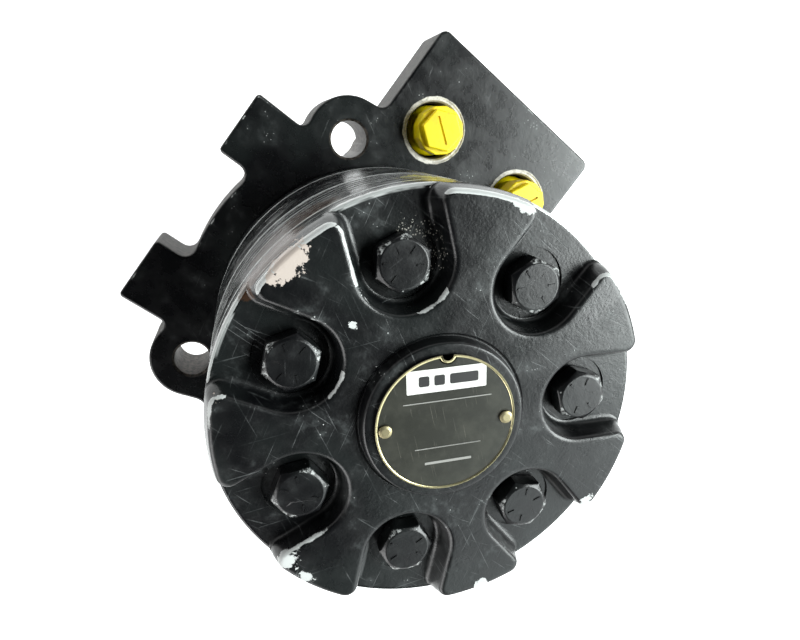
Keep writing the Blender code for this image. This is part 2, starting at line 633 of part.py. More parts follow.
def make_bearings(race_material, cage_material, axis_empty):
    front = (SEAL_JOURNAL_RADIUS + NEEDLE_RADIUS + GAP, 88.0, THRUST_SHOULDER_Z - GAP)
    rear = (REAR_JOURNAL_RADIUS + NEEDLE_RADIUS + GAP, COLLAR_Z + 5, SHAFT_TOP_Z - 3)
    shells = ((front, SEAL_BORE_RADIUS - GAP), (rear, CAVITY_RADIUS - GAP))
    for name, ((circle_radius, z0, z1), outer) in zip(("front", "rear"), shells):
        inner = circle_radius + NEEDLE_RADIUS + GAP
        shell = [(inner, 0), (outer, 0), (outer, z1 - z0), (inner, z1 - z0)]
        finish(f"{name}_bearing_shell", turned(shell, 24), race_material, (0, 0, z0))
        make_needle_cage(f"{name}_needle_cage", cage_material, circle_radius, z0 + 0.8, z1 - 0.8, axis_empty)

    washer = [(19.6, 0), (CAVITY_RADIUS - 0.6, 0), (CAVITY_RADIUS - 0.6, 1.5), (19.6, 1.5)]
    finish("thrust_washer", turned(washer, 24), race_material, (0, 0, THRUST_SHOULDER_Z + GAP))

    middle = (THRUST_SHOULDER_Z + GAP + 1.5 + COLLAR_Z) / 2
    cage = [(19.5, middle - 0.6), (31.2, middle - 0.6), (31.2, middle + 0.6), (19.5, middle + 0.6)]
    cage_ring = finish("thrust_roller_cage", turned(cage, 36), cage_material, parent=axis_empty)
    rollers = bmesh.new()
    count = 12
    for k in range(count):
        angle = TURN * (k + 0.5) / count
        rod_between(rollers, polar(21.0, angle, middle), polar(28.6, angle, middle), 1.7, 7)
    combine(cage_ring, "thrust_rollers", rollers, "UNION")


def make_shaft_seals(rubber, steel):
    neck, journal = SHAFT_NECK_RADIUS + GAP, SEAL_JOURNAL_RADIUS + GAP
    dirt = [(neck + 1.6, 0), (23.9, 0), (23.9, 3.9), (20.5, 3.9), (20.0, 1.8), (neck + 2.2, 3.6), (neck, 3.6),
            (neck, 3.0)]
    finish("dirt_seal", turned(dirt, 24), rubber, (0, 0, NOSE_Z + GAP))
    washer = [(journal + 0.1, 0), (SEAL_BORE_RADIUS - GAP, 0), (SEAL_BORE_RADIUS - GAP, 1.3),
              (journal + 0.1, 1.3)]
    finish("seal_backup_washer", turned(washer, 24), steel, (0, 0, SEAL_BORE_Z + 1.6))
    lip = [(journal + 0.2, 0), (SEAL_BORE_RADIUS - GAP, 0), (SEAL_BORE_RADIUS - GAP, 4.6),
           (SEAL_BORE_RADIUS - 2.4, 4.6), (SEAL_BORE_RADIUS - 3.0, 1.8), (journal + 2.0, 1.8),
           (journal + 1.2, 4.4), (journal, 4.4), (journal, 3.2)]
    finish("shaft_seal", turned(lip, 24), rubber, (0, 0, SEAL_BORE_Z + 3.3))


# ------------------------------------------------------------------ rotor set, link and valve

def commutator_offset():
    """The link's nose carries the commutator further out than the rotor's own orbit."""
    middle = COMMUTATOR_RING_Z + COMMUTATOR_RING_HEIGHT / 2
    return ECCENTRICITY * (middle - LINK_PIVOT_Z) / (ROTOR_MID_Z - LINK_PIVOT_Z)


def make_rotor(material, orbit_empty):
    height = STATOR_HEIGHT - 0.2
    rotor = finish("rotor", add_prism(bmesh.new(), rotor_outline(), 0, height), material,
                   (ECCENTRICITY, 0, STATOR_Z + 0.1), orbit_empty)
    combine(rotor, "rotor_spline", add_prism(bmesh.new(), female_spline(), -1, height + 1))


def make_roller_vanes(material):
    bm = add_cylinder(bmesh.new(), VANE_RADIUS, 0, STATOR_HEIGHT - 0.2, 18)
    places = [polar(VANE_CIRCLE_RADIUS, angle, STATOR_Z + 0.1) for angle in VANE_ANGLES]
    repeat("roller_vane", bm, material, places)


def make_drive_link(material, orbit_empty):
    """Dumb-bell link: one splined head in the shaft, one in the rotor, and a nose in the commutator."""
    length = math.hypot(ECCENTRICITY, ROTOR_MID_Z - LINK_PIVOT_Z)
    nose_top = (COVER_Z - 2.0 - LINK_PIVOT_Z) / math.cos(LINK_TILT)
    head = LINK_HEAD_HALF
    profile = [(0, -head - 1), (7.5, -head - 1), (8.5, -head), (LINK_SHANK_RADIUS, head),
               (LINK_SHANK_RADIUS, length + head), (LINK_NOSE_RADIUS, length + head + 2),
               (LINK_NOSE_RADIUS, nose_top - 1), (LINK_NOSE_RADIUS - 1, nose_top), (0, nose_top)]
    link = finish("drive_link", turned(profile, 20), material, (0, 0, LINK_PIVOT_Z), orbit_empty,
                  (0, LINK_TILT, 0))
    heads = bmesh.new()
    for middle in (0, length):
        add_prism(heads, male_spline(), middle - head, middle + head)
    combine(link, "splined_heads", heads, "UNION")


def make_commutator(material, seal_material, orbit_empty):
    """Round valve plate that the link's nose carries round inside the commutator ring."""
    height = COMMUTATOR_RING_HEIGHT - 0.2
    bore = LINK_NOSE_RADIUS + 0.7
    inner, outer, floor = 22.4, 25.8, height - 2.0
    profile = [(bore, 0), (19.0, 0), (19.0, 1.6), (26.6, 1.6), (26.6, 0), (COMMUTATOR_RADIUS, 0),
               (COMMUTATOR_RADIUS, height), (outer, height), (outer, floor), (inner, floor),
               (inner, height), (bore, height)]
    place = (commutator_offset(), 0, COMMUTATOR_RING_Z + 0.1)
    finish("commutator", turned(profile, 28), material, place, orbit_empty)
    seal = [(inner + GAP, floor + GAP), (outer - GAP, floor + GAP), (outer - GAP, height), (inner + GAP, height)]
    finish("commutator_seal", turned(seal, 28), seal_material, place, orbit_empty)


# ------------------------------------------------------------------ assembly

def clear_scene():
    for piece in list(bpy.data.objects):
        bpy.data.objects.remove(piece, do_unlink=True)


def add_axis(name):
    empty = bpy.data.objects.new(name, None)
    bpy.context.scene.collection.objects.link(empty)
    return empty


def build():
    clear_scene()
    black_paint = make_material("black_paint", (0.020, 0.022, 0.024), 0.38, 0.0)
    machined_steel = make_material("machined_steel", (0.52, 0.51, 0.49), 0.30, 1.0)
    hardened_steel = make_material("hardened_steel", (0.60, 0.60, 0.60), 0.18, 1.0)
    black_oxide = make_material("black_oxide", (0.028, 0.028, 0.030), 0.42, 0.3)
    bronze = make_material("bronze", (0.52, 0.34, 0.14), 0.35, 1.0)
    brass = make_material("brass", (0.72, 0.55, 0.24), 0.30, 1.0)
    rubber = make_material("rubber", (0.025, 0.025, 0.025), 0.70, 0.0)
    yellow_plastic = make_material("yellow_plastic", (0.95, 0.75, 0.0), 0.40, 0.0)
    olive_plate = make_material("olive_plate", (0.045, 0.047, 0.038), 0.45, 0.2)

    make_housing(black_paint)
    make_wear_plate(black_paint)
    make_stator_ring(black_paint)
    make_manifold(black_paint)
    make_commutator_ring(black_paint)
    make_end_cover(black_paint)
    make_body_seals(rubber)
    make_cover_bolts(black_oxide)
    make_nameplate(olive_plate, brass)
    make_port_plugs(yellow_plastic)

    shaft_axis = add_axis("shaft_axis")
    make_output_shaft(machined_steel, shaft_axis)
    make_shaft_key(machined_steel, shaft_axis)
    make_castle_nut(black_oxide, shaft_axis)
    make_bearings(hardened_steel, machined_steel, shaft_axis)
    make_shaft_seals(rubber, machined_steel)

    orbit_axis = add_axis("orbit_axis")
    make_roller_vanes(hardened_steel)
    make_rotor(machined_steel, orbit_axis)
    make_drive_link(machined_steel, orbit_axis)
    make_commutator(bronze, rubber, orbit_axis)


build()
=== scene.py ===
"""Looks of the orbit hydraulic motor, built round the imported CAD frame.

Lengths are millimetres in the row frame: the shaft axis is Z with the end cover on top, the port block
lies toward +Y and the two lugs toward -X. Meshes are scaled to metres where a piece is made. Outer sizes
and places are read from the frame, and the constants below are the details between them.
"""

import math

import bmesh
import bpy
from mathutils import Matrix, Vector


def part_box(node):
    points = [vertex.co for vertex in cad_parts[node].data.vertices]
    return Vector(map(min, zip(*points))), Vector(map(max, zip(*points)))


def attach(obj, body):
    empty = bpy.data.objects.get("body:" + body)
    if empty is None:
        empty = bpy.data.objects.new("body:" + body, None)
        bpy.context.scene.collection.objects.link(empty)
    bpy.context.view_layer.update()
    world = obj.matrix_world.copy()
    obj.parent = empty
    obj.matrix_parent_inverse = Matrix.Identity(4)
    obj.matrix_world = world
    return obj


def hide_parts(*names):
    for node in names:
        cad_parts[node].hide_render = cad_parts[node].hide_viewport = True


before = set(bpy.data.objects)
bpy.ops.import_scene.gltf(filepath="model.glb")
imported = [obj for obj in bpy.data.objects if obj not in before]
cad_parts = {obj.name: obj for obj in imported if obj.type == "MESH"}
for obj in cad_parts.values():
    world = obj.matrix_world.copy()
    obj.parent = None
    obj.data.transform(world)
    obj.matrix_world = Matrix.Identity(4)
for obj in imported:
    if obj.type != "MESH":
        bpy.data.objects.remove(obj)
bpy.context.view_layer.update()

MM = 0.001
TURN = 2 * math.pi
UP = Vector((0, 0, 1))


def cad_box(node):
    """Lowest and highest corner of a CAD node, in millimetres."""
    low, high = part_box(node)
    return low / MM, high / MM


def cad_centre(node):
    low, high = cad_box(node)
    return (low + high) / 2


# ------------------------------------------------------------------ sizes, mostly from the frame

BOLT_NODES = [f"cover_bolt_{k}" for k in range(1, 8)]
VANE_NODES = [f"roller_vane_{k}" for k in range(1, 8)]
PLUG_NODES = ["port_plug_1", "port_plug_2"]
RIVET_NODES = ["nameplate_rivet_1", "nameplate_rivet_2"]

COVER_LOW, COVER_HIGH = cad_box("end_cover")
STACK_RADIUS = COVER_HIGH.x
BOSS_HEIGHT = 3.5
BOSS_TOP_Z = COVER_HIGH.z
FACE_Z = BOSS_TOP_Z - BOSS_HEIGHT
BOLT_CENTRES = [cad_centre(node) for node in BOLT_NODES]
BOLT_CIRCLE_RADIUS = BOLT_CENTRES[0].xy.length
BOLT_ANGLES = [math.atan2(centre.y, centre.x) for centre in BOLT_CENTRES]
BOLT_TOP_Z = cad_box("cover_bolt_1")[1].z
BOLT_HEAD_HEIGHT = 5.9
BOLT_SEAT_Z = BOLT_TOP_Z - BOLT_HEAD_HEIGHT
BOLT_RADIUS = 4.76
BOLT_FLATS = 14.29
BOLT_PITCH = 1.5875
BOLT_HOLE_RADIUS = 5.35
SPOT_FACE_Z = BOLT_SEAT_Z - 0.3
SPOT_FACE_RADIUS = 10.5
POCKET_FLOOR_Z = SPOT_FACE_Z + 0.6
POCKET_HALF_WIDTH = 12.9       # at the cover's face, before its edge is rounded
POCKET_DRAFT = 0.9
COVER_EDGE = 1.5
COVER_RIM_DRAFT = 1.0
SECTOR_CORNER = 3.4
FLOOR_FILLET = 2.0
FLOOR_EDGE = 0.8

HOUSING_LOW, HOUSING_HIGH = cad_box("housing")
HOUSING_TOP_Z = HOUSING_HIGH.z
FLANGE_REAR_Z = HOUSING_TOP_Z - 5.0
FLANGE_THICKNESS = 24.0
FLANGE_FRONT_Z = FLANGE_REAR_Z - FLANGE_THICKNESS
PILOT_FRONT_Z = FLANGE_FRONT_Z - 8.0
BLOCK_FRONT_Z = FLANGE_REAR_Z - 31.4
LUG_REACH = -HOUSING_LOW.x
BLOCK_TOP = HOUSING_HIGH.y
BLOCK_LEFT = -47.6
BLOCK_RIGHT = 34.4
BLOCK_CORNER = 3.2
DISC_RADIUS = 76.0
LUG_INNER = 20.0
LUG_OUTER = 45.0
EAR_RADIUS = 15.8
MOUNT_CIRCLE_RADIUS = 73.8
MOUNT_HOLE_RADIUS = 6.75
PILOT_RADIUS = 53.975
HUB_RADIUS = 40.9
PORT_CENTRES = [cad_centre(node) for node in PLUG_NODES]
PORT_RADIUS = 10.15
PORT_FACE_RADIUS = 12.3
PORT_DEPTH = 17.0
PORT_PITCH = 1.81
SEAL_GROOVE = (55.2, 58.8, 1.8)    # inner radius, outer radius, depth

WEAR_PLATE_BORE = 17.5
STATOR_BORE = 36.3
VANE_SEAT_GAP = 0.4
MANIFOLD_BORE = 14.5
MANIFOLD_LAYERS = 9
COMMUTATOR_BORE = 35.4

PLATE_LOW, PLATE_HIGH = cad_box("nameplate")
PLATE_RADIUS = PLATE_HIGH.x
RIVET_HOLE_RADIUS = 1.7
PLUG_TURNS = (-35, 63)                # degrees, so that each screwdriver slot lies its own way
PLUG_COLLAR_RADIUS = 9.0
PLUG_FLATS = 13.8

SHAFT_THREAD_RADIUS = 12.4
SHAFT_THREAD_DEPTH = 1.1
SHAFT_THREAD_PITCH = 1.814
SHAFT_THREAD_TOP_Z = 28.0
TAPER_TOP_Z = 70.0
SHAFT_TOP_Z = 142.0
KEY_DISC_RADIUS = 12.7
SPLINE_TEETH = 12
NUT_FLATS = 36.5
NOTCH_ANGLE = math.radians(128)
LABEL_TURN = math.radians(39.5)      # the nameplate reads along this direction

WORN_AND_LIT_SIDE = math.radians(140)      # the cover's and the stack's edges are painted paler on this side: partly rubbed wear, partly a painted highlight


# ------------------------------------------------------------------ shader tools

class Shader:
    """A Principled material and short names for the nodes that feed it. Object space is the row frame."""

    def __init__(self, name):
        self.material = bpy.data.materials.new(name)
        self.material.use_nodes = True
        self.tree = self.material.node_tree
        self.surface = self.tree.nodes["Principled BSDF"]
        self.place = self.tree.nodes.new("ShaderNodeTexCoord").outputs["Object"]

    def feed(self, socket, value):
        if isinstance(value, bpy.types.NodeSocket):
            self.tree.links.new(value, socket)
        elif value is not None:
            socket.default_value = value

    def add(self, kind, inputs, output=0, **settings):
        node = self.tree.nodes.new(kind)
        for key, value in settings.items():
            setattr(node, key, value)
        for key, value in inputs.items():
            self.feed(node.inputs[key], value)
        return node.outputs[output]

    def calc(self, operation, a, b=None, clamp=False):
        return self.add("ShaderNodeMath", {0: a, 1: b}, operation=operation, use_clamp=clamp)

    def total(self, *values):
        result = values[0]
        for value in values[1:]:
            result = self.calc("ADD", result, value)
        return result

    def scaled(self, value, factor, offset=0.0):
        return self.add("ShaderNodeMath", {0: value, 1: factor, 2: offset}, operation="MULTIPLY_ADD")

    def ramp(self, value, low, high, out_low=0.0, out_high=1.0):
        """Smooth step from out_low at low to out_high at high."""
        inputs = {"Value": value, "From Min": low, "From Max": high, "To Min": out_low, "To Max": out_high}
        return self.add("ShaderNodeMapRange", inputs, interpolation_type="SMOOTHSTEP")

    def mix(self, factor, a, b):
        return self.add("ShaderNodeMix", {0: factor, 6: a, 7: b}, 2, data_type="RGBA")

    def blend(self, factor, a, b):
        return self.add("ShaderNodeMix", {0: factor, 2: a, 3: b}, 0, data_type="FLOAT")

    def stretched(self, turn, stretch):
        """Object space turned about Z, then scaled along X, Y and Z."""
        turned = self.add("ShaderNodeMapping", {"Vector": self.place, "Rotation": (0.0, 0.0, turn)})
        return self.add("ShaderNodeVectorMath", {0: turned, 1: stretch}, operation="MULTIPLY")

    def noise(self, size, detail=3.0, roughness=0.55, space=None):
        """Noise from 0 to 1 with features about size millimetres across."""
        inputs = {"Vector": space or self.place, "Scale": 1 / (size * MM), "Detail": detail,
                  "Roughness": roughness}
        return self.add("ShaderNodeTexNoise", inputs, "Fac")

    def cells(self, size):
        """Distance to the middle of cells about size millimetres across."""
        inputs = {"Vector": self.place, "Scale": 1 / (size * MM)}
        return self.add("ShaderNodeTexVoronoi", inputs, "Distance")

    def attribute(self, name):
        return self.add("ShaderNodeAttribute", {}, "Fac", attribute_name=name)

    def axis(self, index):
        """One coordinate in millimetres."""
        return self.scaled(self.add("ShaderNodeSeparateXYZ", {0: self.place}, index), 1 / MM)

    def along(self, angle):
        """Distance along a horizontal direction, in millimetres."""
        direction = (math.cos(angle) / MM, math.sin(angle) / MM, 0.0)
        inputs = {0: self.place, 1: direction}
        return self.add("ShaderNodeVectorMath", inputs, "Value", operation="DOT_PRODUCT")

    def radius(self, centre=(0.0, 0.0)):
        """Distance from a vertical line, in millimetres."""
        inputs = {0: self.place, 1: (1 / MM, 1 / MM, 0.0)}
        flat = self.add("ShaderNodeVectorMath", inputs, operation="MULTIPLY")
        inputs = {0: flat, 1: (centre[0], centre[1], 0.0)}
        return self.add("ShaderNodeVectorMath", inputs, "Value", operation="DISTANCE")

    def patch(self, centre, reach, ragged):
        """A ragged spot, 1 inside: centre and reach in millimetres."""
        squeeze = [1 / (MM * length) for length in reach]
        placed = self.add("ShaderNodeVectorMath", {0: self.place, 1: squeeze}, operation="MULTIPLY")
        middle = [value / length for value, length in zip(centre, reach)]
        away = self.add("ShaderNodeVectorMath", {0: placed, 1: middle}, "Value", operation="DISTANCE")
        return self.ramp(self.total(away, ragged), 1.04, 0.96)

    def relief(self, height):
        """Bump from a height in millimetres."""
        inputs = {"Height": height, "Distance": MM, "Strength": 1.0}
        self.feed(self.surface.inputs["Normal"], self.add("ShaderNodeBump", inputs))

    def finish(self, colour, roughness, metallic=0.0):
        self.feed(self.surface.inputs["Base Color"], colour)
        self.feed(self.surface.inputs["Roughness"], roughness)
        self.feed(self.surface.inputs["Metallic"], metallic)
        return self.material


def rgb(red, green, blue):
    return (red, green, blue, 1.0)


PAINT = rgb(0.0025, 0.0028, 0.0034)
PAINT_FILM = rgb(0.009, 0.011, 0.011)
PAINT_DUST = rgb(0.070, 0.078, 0.078)
SCRATCH = rgb(0.115, 0.125, 0.125)
RUBBED = rgb(0.56, 0.58, 0.57)
BARE_CAST = rgb(0.52, 0.45, 0.40)
RUST = rgb(0.10, 0.045, 0.02)
SIDE_DARK = rgb(0.008, 0.007, 0.006)
SIDE_PALE = rgb(0.050, 0.043, 0.036)
GRIT = rgb(0.5, 0.48, 0.43)
YELLOW_SMEAR = rgb(0.55, 0.50, 0.05)


# Paint chips on the cover's face as (centre, reach, colour), and places where its edges are rubbed bare.
COVER_CHIPS = [((-59.4, 11.6, FACE_Z), (3.3, 6.4, 3), BARE_CAST),
               ((-37.0, 7.5, FACE_Z), (1.2, 0.9, 2), RUBBED),
               ((-13.0, -58.0, FACE_Z), (4.6, 2.6, 2), RUBBED),
               ((-3.0, -60.4, FACE_Z), (2.4, 1.4, 2), RUBBED),
               ((59.8, 2.5, FACE_Z), (1.5, 2.2, 2), RUBBED),
               ((-56.0, -25.5, FACE_Z), (2.2, 2.6, 2), BARE_CAST),
               ((47.7, -38.6, FACE_Z), (1.9, 1.9, 2), RUBBED),
               ((-20.5, 58.5, FACE_Z), (5.5, 1.5, 2), RUBBED)]
COVER_RUBS = [((-23.6, 25.4, FACE_Z), (7, 5, 5)), ((-45.5, 20.7, FACE_Z), (11, 8, 3)),
              ((-31.0, -8.0, FACE_Z), (6, 4, 4)), ((-10.0, -52.0, FACE_Z), (6, 7, 5)),
              ((8.0, 57.0, FACE_Z), (9, 5, 4)), ((-57.0, -24.0, FACE_Z), (5, 5, 4))]


# ------------------------------------------------------------------ materials

def scratches(shader, turn, width, length, amount):
    """Fine straight scratches of about one width and length, in millimetres."""
    space = shader.stretched(turn, (1 / length, 1 / width, 1 / length))
    lines = shader.noise(1.0, 1.0, 0.4, space)
    return shader.ramp(lines, 0.76 - amount, 0.81 - amount)


def painted(name, cast=0.3, wear=0.45, side_wear_and_highlight=0.0, scratch=0.4, chips=(), rubs=(), extra=None,
            roughness=0.30, specular=0.5):
    """Semi-gloss black paint over a casting.

    cast is how rough the casting reads through, wear how much the edges are rubbed all round and
    side_wear_and_highlight how much paler they are painted on the worn and lit side, partly wear and partly a
    painted highlight. Each chip is (centre, reach, colour) and each rub, where nearby edges are bare, is
    (centre, reach). extra changes the colour, roughness and metallic sockets before they are used.
    """
    shader = Shader(name)
    broad = shader.noise(34, 3)
    patchy = shader.noise(9, 4, 0.6)
    fine = shader.noise(2.6, 4, 0.6)
    grain = shader.noise(0.5, 2)

    colour = shader.mix(shader.ramp(broad, 0.42, 0.62), PAINT, PAINT_FILM)
    dust = shader.calc("MULTIPLY", shader.ramp(patchy, 0.52, 0.72), shader.ramp(fine, 0.40, 0.70))
    colour = shader.mix(shader.scaled(dust, 0.35 + 0.4 * scratch), colour, PAINT_DUST)

    lines = scratches(shader, 0.5, 0.55, 26, 0.045 * scratch)
    for turn, width, length in ((1.35, 0.45, 18), (2.3, 0.6, 34), (2.95, 0.5, 14), (0.05, 0.5, 22)):
        lines = shader.calc("MAXIMUM", lines, scratches(shader, turn, width, length, 0.045 * scratch))
    lines = shader.calc("MULTIPLY", lines, shader.ramp(patchy, 0.42, 0.6, 0.15, 1.0))
    colour = shader.mix(shader.scaled(lines, 0.25 + 0.35 * scratch), colour, SCRATCH)

    specks = shader.ramp(shader.cells(1.3), 0.16, 0.11)
    specks = shader.calc("MULTIPLY", specks, shader.ramp(patchy, 0.60, 0.68))
    colour = shader.mix(shader.scaled(specks, 0.8), colour, RUBBED)

    edge = shader.attribute("edge")
    # Edges on the worn and lit side get more of the pale rubbed colour: partly wear, partly a painted
    # highlight.
    outside = shader.ramp(shader.radius(), STACK_RADIUS - 2.9, STACK_RADIUS - 2.1)
    worn_and_lit_side = shader.calc("MULTIPLY", shader.ramp(shader.along(WORN_AND_LIT_SIDE), 8, 42), outside)
    reach = shader.blend(worn_and_lit_side, wear, wear + side_wear_and_highlight)
    for centre, size in rubs:
        rubbed = shader.patch(centre, size, shader.scaled(patchy, 1.6, -0.8))
        reach = shader.calc("MAXIMUM", reach, shader.scaled(rubbed, 0.72))
    ragged = shader.total(shader.scaled(fine, 0.9, -0.45), shader.scaled(patchy, 0.9, -0.45),
                          shader.scaled(grain, 0.3, -0.15))
    exposed = shader.total(shader.calc("MULTIPLY", edge, reach), shader.scaled(ragged, 0.55))
    worn = shader.ramp(exposed, 0.52, 0.62)
    colour = shader.mix(worn, colour, RUBBED)

    gone = worn
    torn = shader.scaled(shader.noise(2.2, 5, 0.7), 3.4, -1.75)
    for centre, size, tint in chips:
        spot = shader.patch(centre, size, torn)
        colour = shader.mix(spot, colour, tint)
        gone = shader.calc("MAXIMUM", gone, spot)

    height = shader.scaled(shader.noise(1.1, 2), 0.022)
    height = shader.total(height, shader.scaled(shader.noise(3.2, 3, 0.6), 0.16 * cast),
                          shader.scaled(shader.noise(0.8, 2), 0.07 * cast), shader.scaled(lines, -0.02),
                          shader.scaled(gone, -0.06), shader.scaled(specks, 0.04))
    shader.relief(height)
    shader.surface.inputs["Specular IOR Level"].default_value = specular
    gloss = shader.blend(shader.ramp(patchy, 0.35, 0.7), roughness, roughness + 0.12)
    gloss = shader.blend(gone, gloss, 0.55)
    metal = shader.scaled(worn, 0.25)
    if extra:
        colour, gloss, metal = extra(shader, colour, gloss, metal, ragged)
    return shader.finish(colour, gloss, metal)


def housing_extra(shader, colour, gloss, metal, ragged):
    """Bare metal round the ports, painted shade on the dark metal of the port bores, bare rusty metal
    darkened with painted shade in the mount holes, and rough brown-grey sides.
    """
    steep = shader.add("ShaderNodeSeparateXYZ", {0: shader.add("ShaderNodeNewGeometry", {}, "Normal")}, 2)
    side = shader.ramp(shader.calc("ABSOLUTE", steep), 0.75, 0.35)
    coarse = shader.noise(1.6, 4, 0.65)
    rough_side = shader.mix(shader.ramp(coarse, 0.35, 0.65), SIDE_DARK, SIDE_PALE)
    outside = shader.ramp(shader.radius(), STACK_RADIUS + 4, STACK_RADIUS + 7)
    side = shader.calc("MULTIPLY", side, outside)
    colour = shader.mix(side, colour, rough_side)
    gloss = shader.blend(side, gloss, 0.62)

    near_top = shader.ramp(shader.axis(2), FLANGE_REAR_Z - 2.0, FLANGE_REAR_Z - 1.0)
    for centre in PORT_CENTRES:
        away = shader.total(shader.radius(centre), ragged)
        ring = shader.ramp(away, PORT_FACE_RADIUS + 0.45, PORT_FACE_RADIUS + 0.15)
        ring = shader.calc("MULTIPLY", ring, near_top)
        bare = shader.mix(shader.ramp(coarse, 0.42, 0.62), rgb(0.72, 0.70, 0.64), rgb(0.46, 0.44, 0.40))
        colour = shader.mix(ring, colour, bare)
        gloss = shader.blend(ring, gloss, 0.5)
        # Painted shade: the port bore walls are coloured near-black as if in shadow, over dark metal.
        bore = shader.ramp(shader.radius(centre), PORT_RADIUS + 0.5, PORT_RADIUS + 0.1)
        colour = shader.mix(bore, colour, rgb(0.05, 0.045, 0.04))
        metal = shader.calc("MAXIMUM", metal, bore)
    for k in range(4):
        angle = TURN * (k + 0.5) / 4
        centre = (MOUNT_CIRCLE_RADIUS * math.cos(angle), MOUNT_CIRCLE_RADIUS * math.sin(angle))
        # Mount-hole walls: bare rusty metal, coloured much darker as painted shade.
        away = shader.total(shader.radius(centre), shader.scaled(ragged, 0.4))
        hole = shader.ramp(away, MOUNT_HOLE_RADIUS + 0.9, MOUNT_HOLE_RADIUS + 0.6)
        bare = shader.mix(shader.ramp(coarse, 0.35, 0.65), rgb(0.10, 0.085, 0.07), rgb(0.020, 0.017, 0.014))
        colour = shader.mix(hole, colour, bare)
        gloss = shader.blend(hole, gloss, 0.5)
        metal = shader.calc("MAXIMUM", metal, shader.scaled(hole, 0.5))
    return colour, gloss, metal


def rub_and_highlight_streaks(shader, colour):
    """Fine pale lines round the outside of the stack, on its worn and lit side only: partly rub marks, partly
    a painted highlight on the plate edges.
    """
    streaks = shader.noise(1.0, 3.0, 0.6, shader.stretched(0.0, (1 / 26, 1 / 26, 1 / 0.45)))
    streaks = shader.ramp(streaks, 0.60, 0.66)
    place = shader.ramp(shader.along(WORN_AND_LIT_SIDE), 22, 52)
    side = shader.ramp(shader.radius(), STACK_RADIUS - 1.6, STACK_RADIUS - 1.2)
    streaks = shader.calc("MULTIPLY", streaks, shader.calc("MULTIPLY", place, side))
    return shader.mix(shader.scaled(streaks, 0.85), colour, RUBBED)


def cover_extra(shader, colour, gloss, metal, ragged):
    """Brown tint on the worn side, and pale grit in the pocket nearest to it."""
    side = shader.ramp(shader.radius(), STACK_RADIUS - 1.5, STACK_RADIUS - 1.0)
    gloss = shader.blend(side, gloss, 0.24)
    rust = shader.patch((-62, 10, FACE_Z - 8), (3.5, 14, 6), shader.scaled(ragged, 0.8))
    colour = shader.mix(shader.scaled(rust, 0.5), colour, RUST)
    # Pale streaks round the rim on the worn and lit side: partly rub marks, partly a painted highlight.
    colour = rub_and_highlight_streaks(shader, colour)
    grit_dots = shader.ramp(shader.cells(0.8), 0.30, 0.22)
    pocket = BOLT_CENTRES[1]
    grit = shader.patch((pocket.x + 3.5, pocket.y + 7.0, SPOT_FACE_Z), (9, 7, 5), ragged)
    colour = shader.mix(shader.calc("MULTIPLY", grit, grit_dots), colour, GRIT)
    return colour, gloss, metal


def stack_extra(shader, colour, gloss, metal, ragged):
    """Yellow transfer smear and brown tint on the worn side of the stack."""
    streaks = shader.noise(1.0, 2.0, 0.5, shader.stretched(0.0, (1 / 20, 1 / 20, 1 / 0.6)))
    smear = shader.patch((-38, 50, FACE_Z - 20), (8, 7, 13), shader.scaled(ragged, 1.2))
    smear = shader.calc("MULTIPLY", smear, shader.ramp(streaks, 0.42, 0.58))
    colour = shader.mix(shader.scaled(smear, 0.7), colour, YELLOW_SMEAR)
    rust = shader.patch((-60, 18, FACE_Z - 20), (10, 16, 12), ragged)
    colour = shader.mix(shader.scaled(rust, 0.3), colour, RUST)
    # Pale streaks on the worn and lit side: partly rub marks, partly a painted highlight.
    return rub_and_highlight_streaks(shader, colour), gloss, metal


def turned_steel(name, colour, roughness=0.26, groove=0.25, tint=rgb(0.30, 0.24, 0.16), tinted=0.25):
    """Machined steel with turning marks round Z, faint oil stains and small dark pits."""
    shader = Shader(name)
    marks = shader.noise(1.0, 3.0, 0.6, shader.stretched(0.0, (1 / 40, 1 / 40, 1 / groove)))
    stain = shader.noise(11, 4, 0.6)
    pits = shader.ramp(shader.noise(0.9, 3), 0.68, 0.76)
    shade = shader.mix(shader.scaled(shader.ramp(stain, 0.45, 0.72), tinted), colour, tint)
    shade = shader.mix(shader.scaled(pits, 0.5), shade, rgb(0.05, 0.045, 0.04))
    height = shader.total(shader.scaled(marks, 0.008), shader.scaled(pits, -0.02))
    shader.relief(height)
    gloss = shader.blend(shader.ramp(stain, 0.35, 0.7), roughness, roughness + 0.16)
    return shader.finish(shade, shader.total(gloss, shader.scaled(marks, 0.10, -0.05)), 1.0)


def rubber(name):
    shader = Shader(name)
    bloom = shader.noise(6, 4, 0.6)
    colour = shader.mix(shader.ramp(bloom, 0.4, 0.7), rgb(0.012, 0.012, 0.013), rgb(0.035, 0.034, 0.032))
    shader.relief(shader.scaled(shader.noise(0.7, 3), 0.03))
    return shader.finish(colour, shader.blend(bloom, 0.55, 0.8))


def yellow_plastic(name):
    """Moulded polyethylene: slightly waxy, with scuffs and a trace of oil."""
    shader = Shader(name)
    tone = shader.noise(7, 3)
    colour = shader.mix(shader.ramp(tone, 0.35, 0.7), rgb(0.93, 0.76, 0.0), rgb(0.86, 0.62, 0.0))
    scuff = scratches(shader, 0.9, 0.2, 5, 0.03)
    colour = shader.mix(shader.scaled(scuff, 0.35), colour, rgb(0.55, 0.42, 0.05))
    grime = shader.calc("MULTIPLY", shader.ramp(shader.noise(2.4, 4, 0.65), 0.60, 0.74), 0.35)
    colour = shader.mix(grime, colour, rgb(0.40, 0.30, 0.03))
    shader.relief(shader.total(shader.scaled(shader.noise(1.4, 3), 0.03), shader.scaled(scuff, -0.02)))
    shader.surface.inputs["Subsurface Weight"].default_value = 0.15
    shader.surface.inputs["Subsurface Radius"].default_value = (1.0, 0.8, 0.1)
    shader.surface.inputs["Subsurface Scale"].default_value = 0.8 * MM
    return shader.finish(colour, shader.blend(tone, 0.34, 0.5))


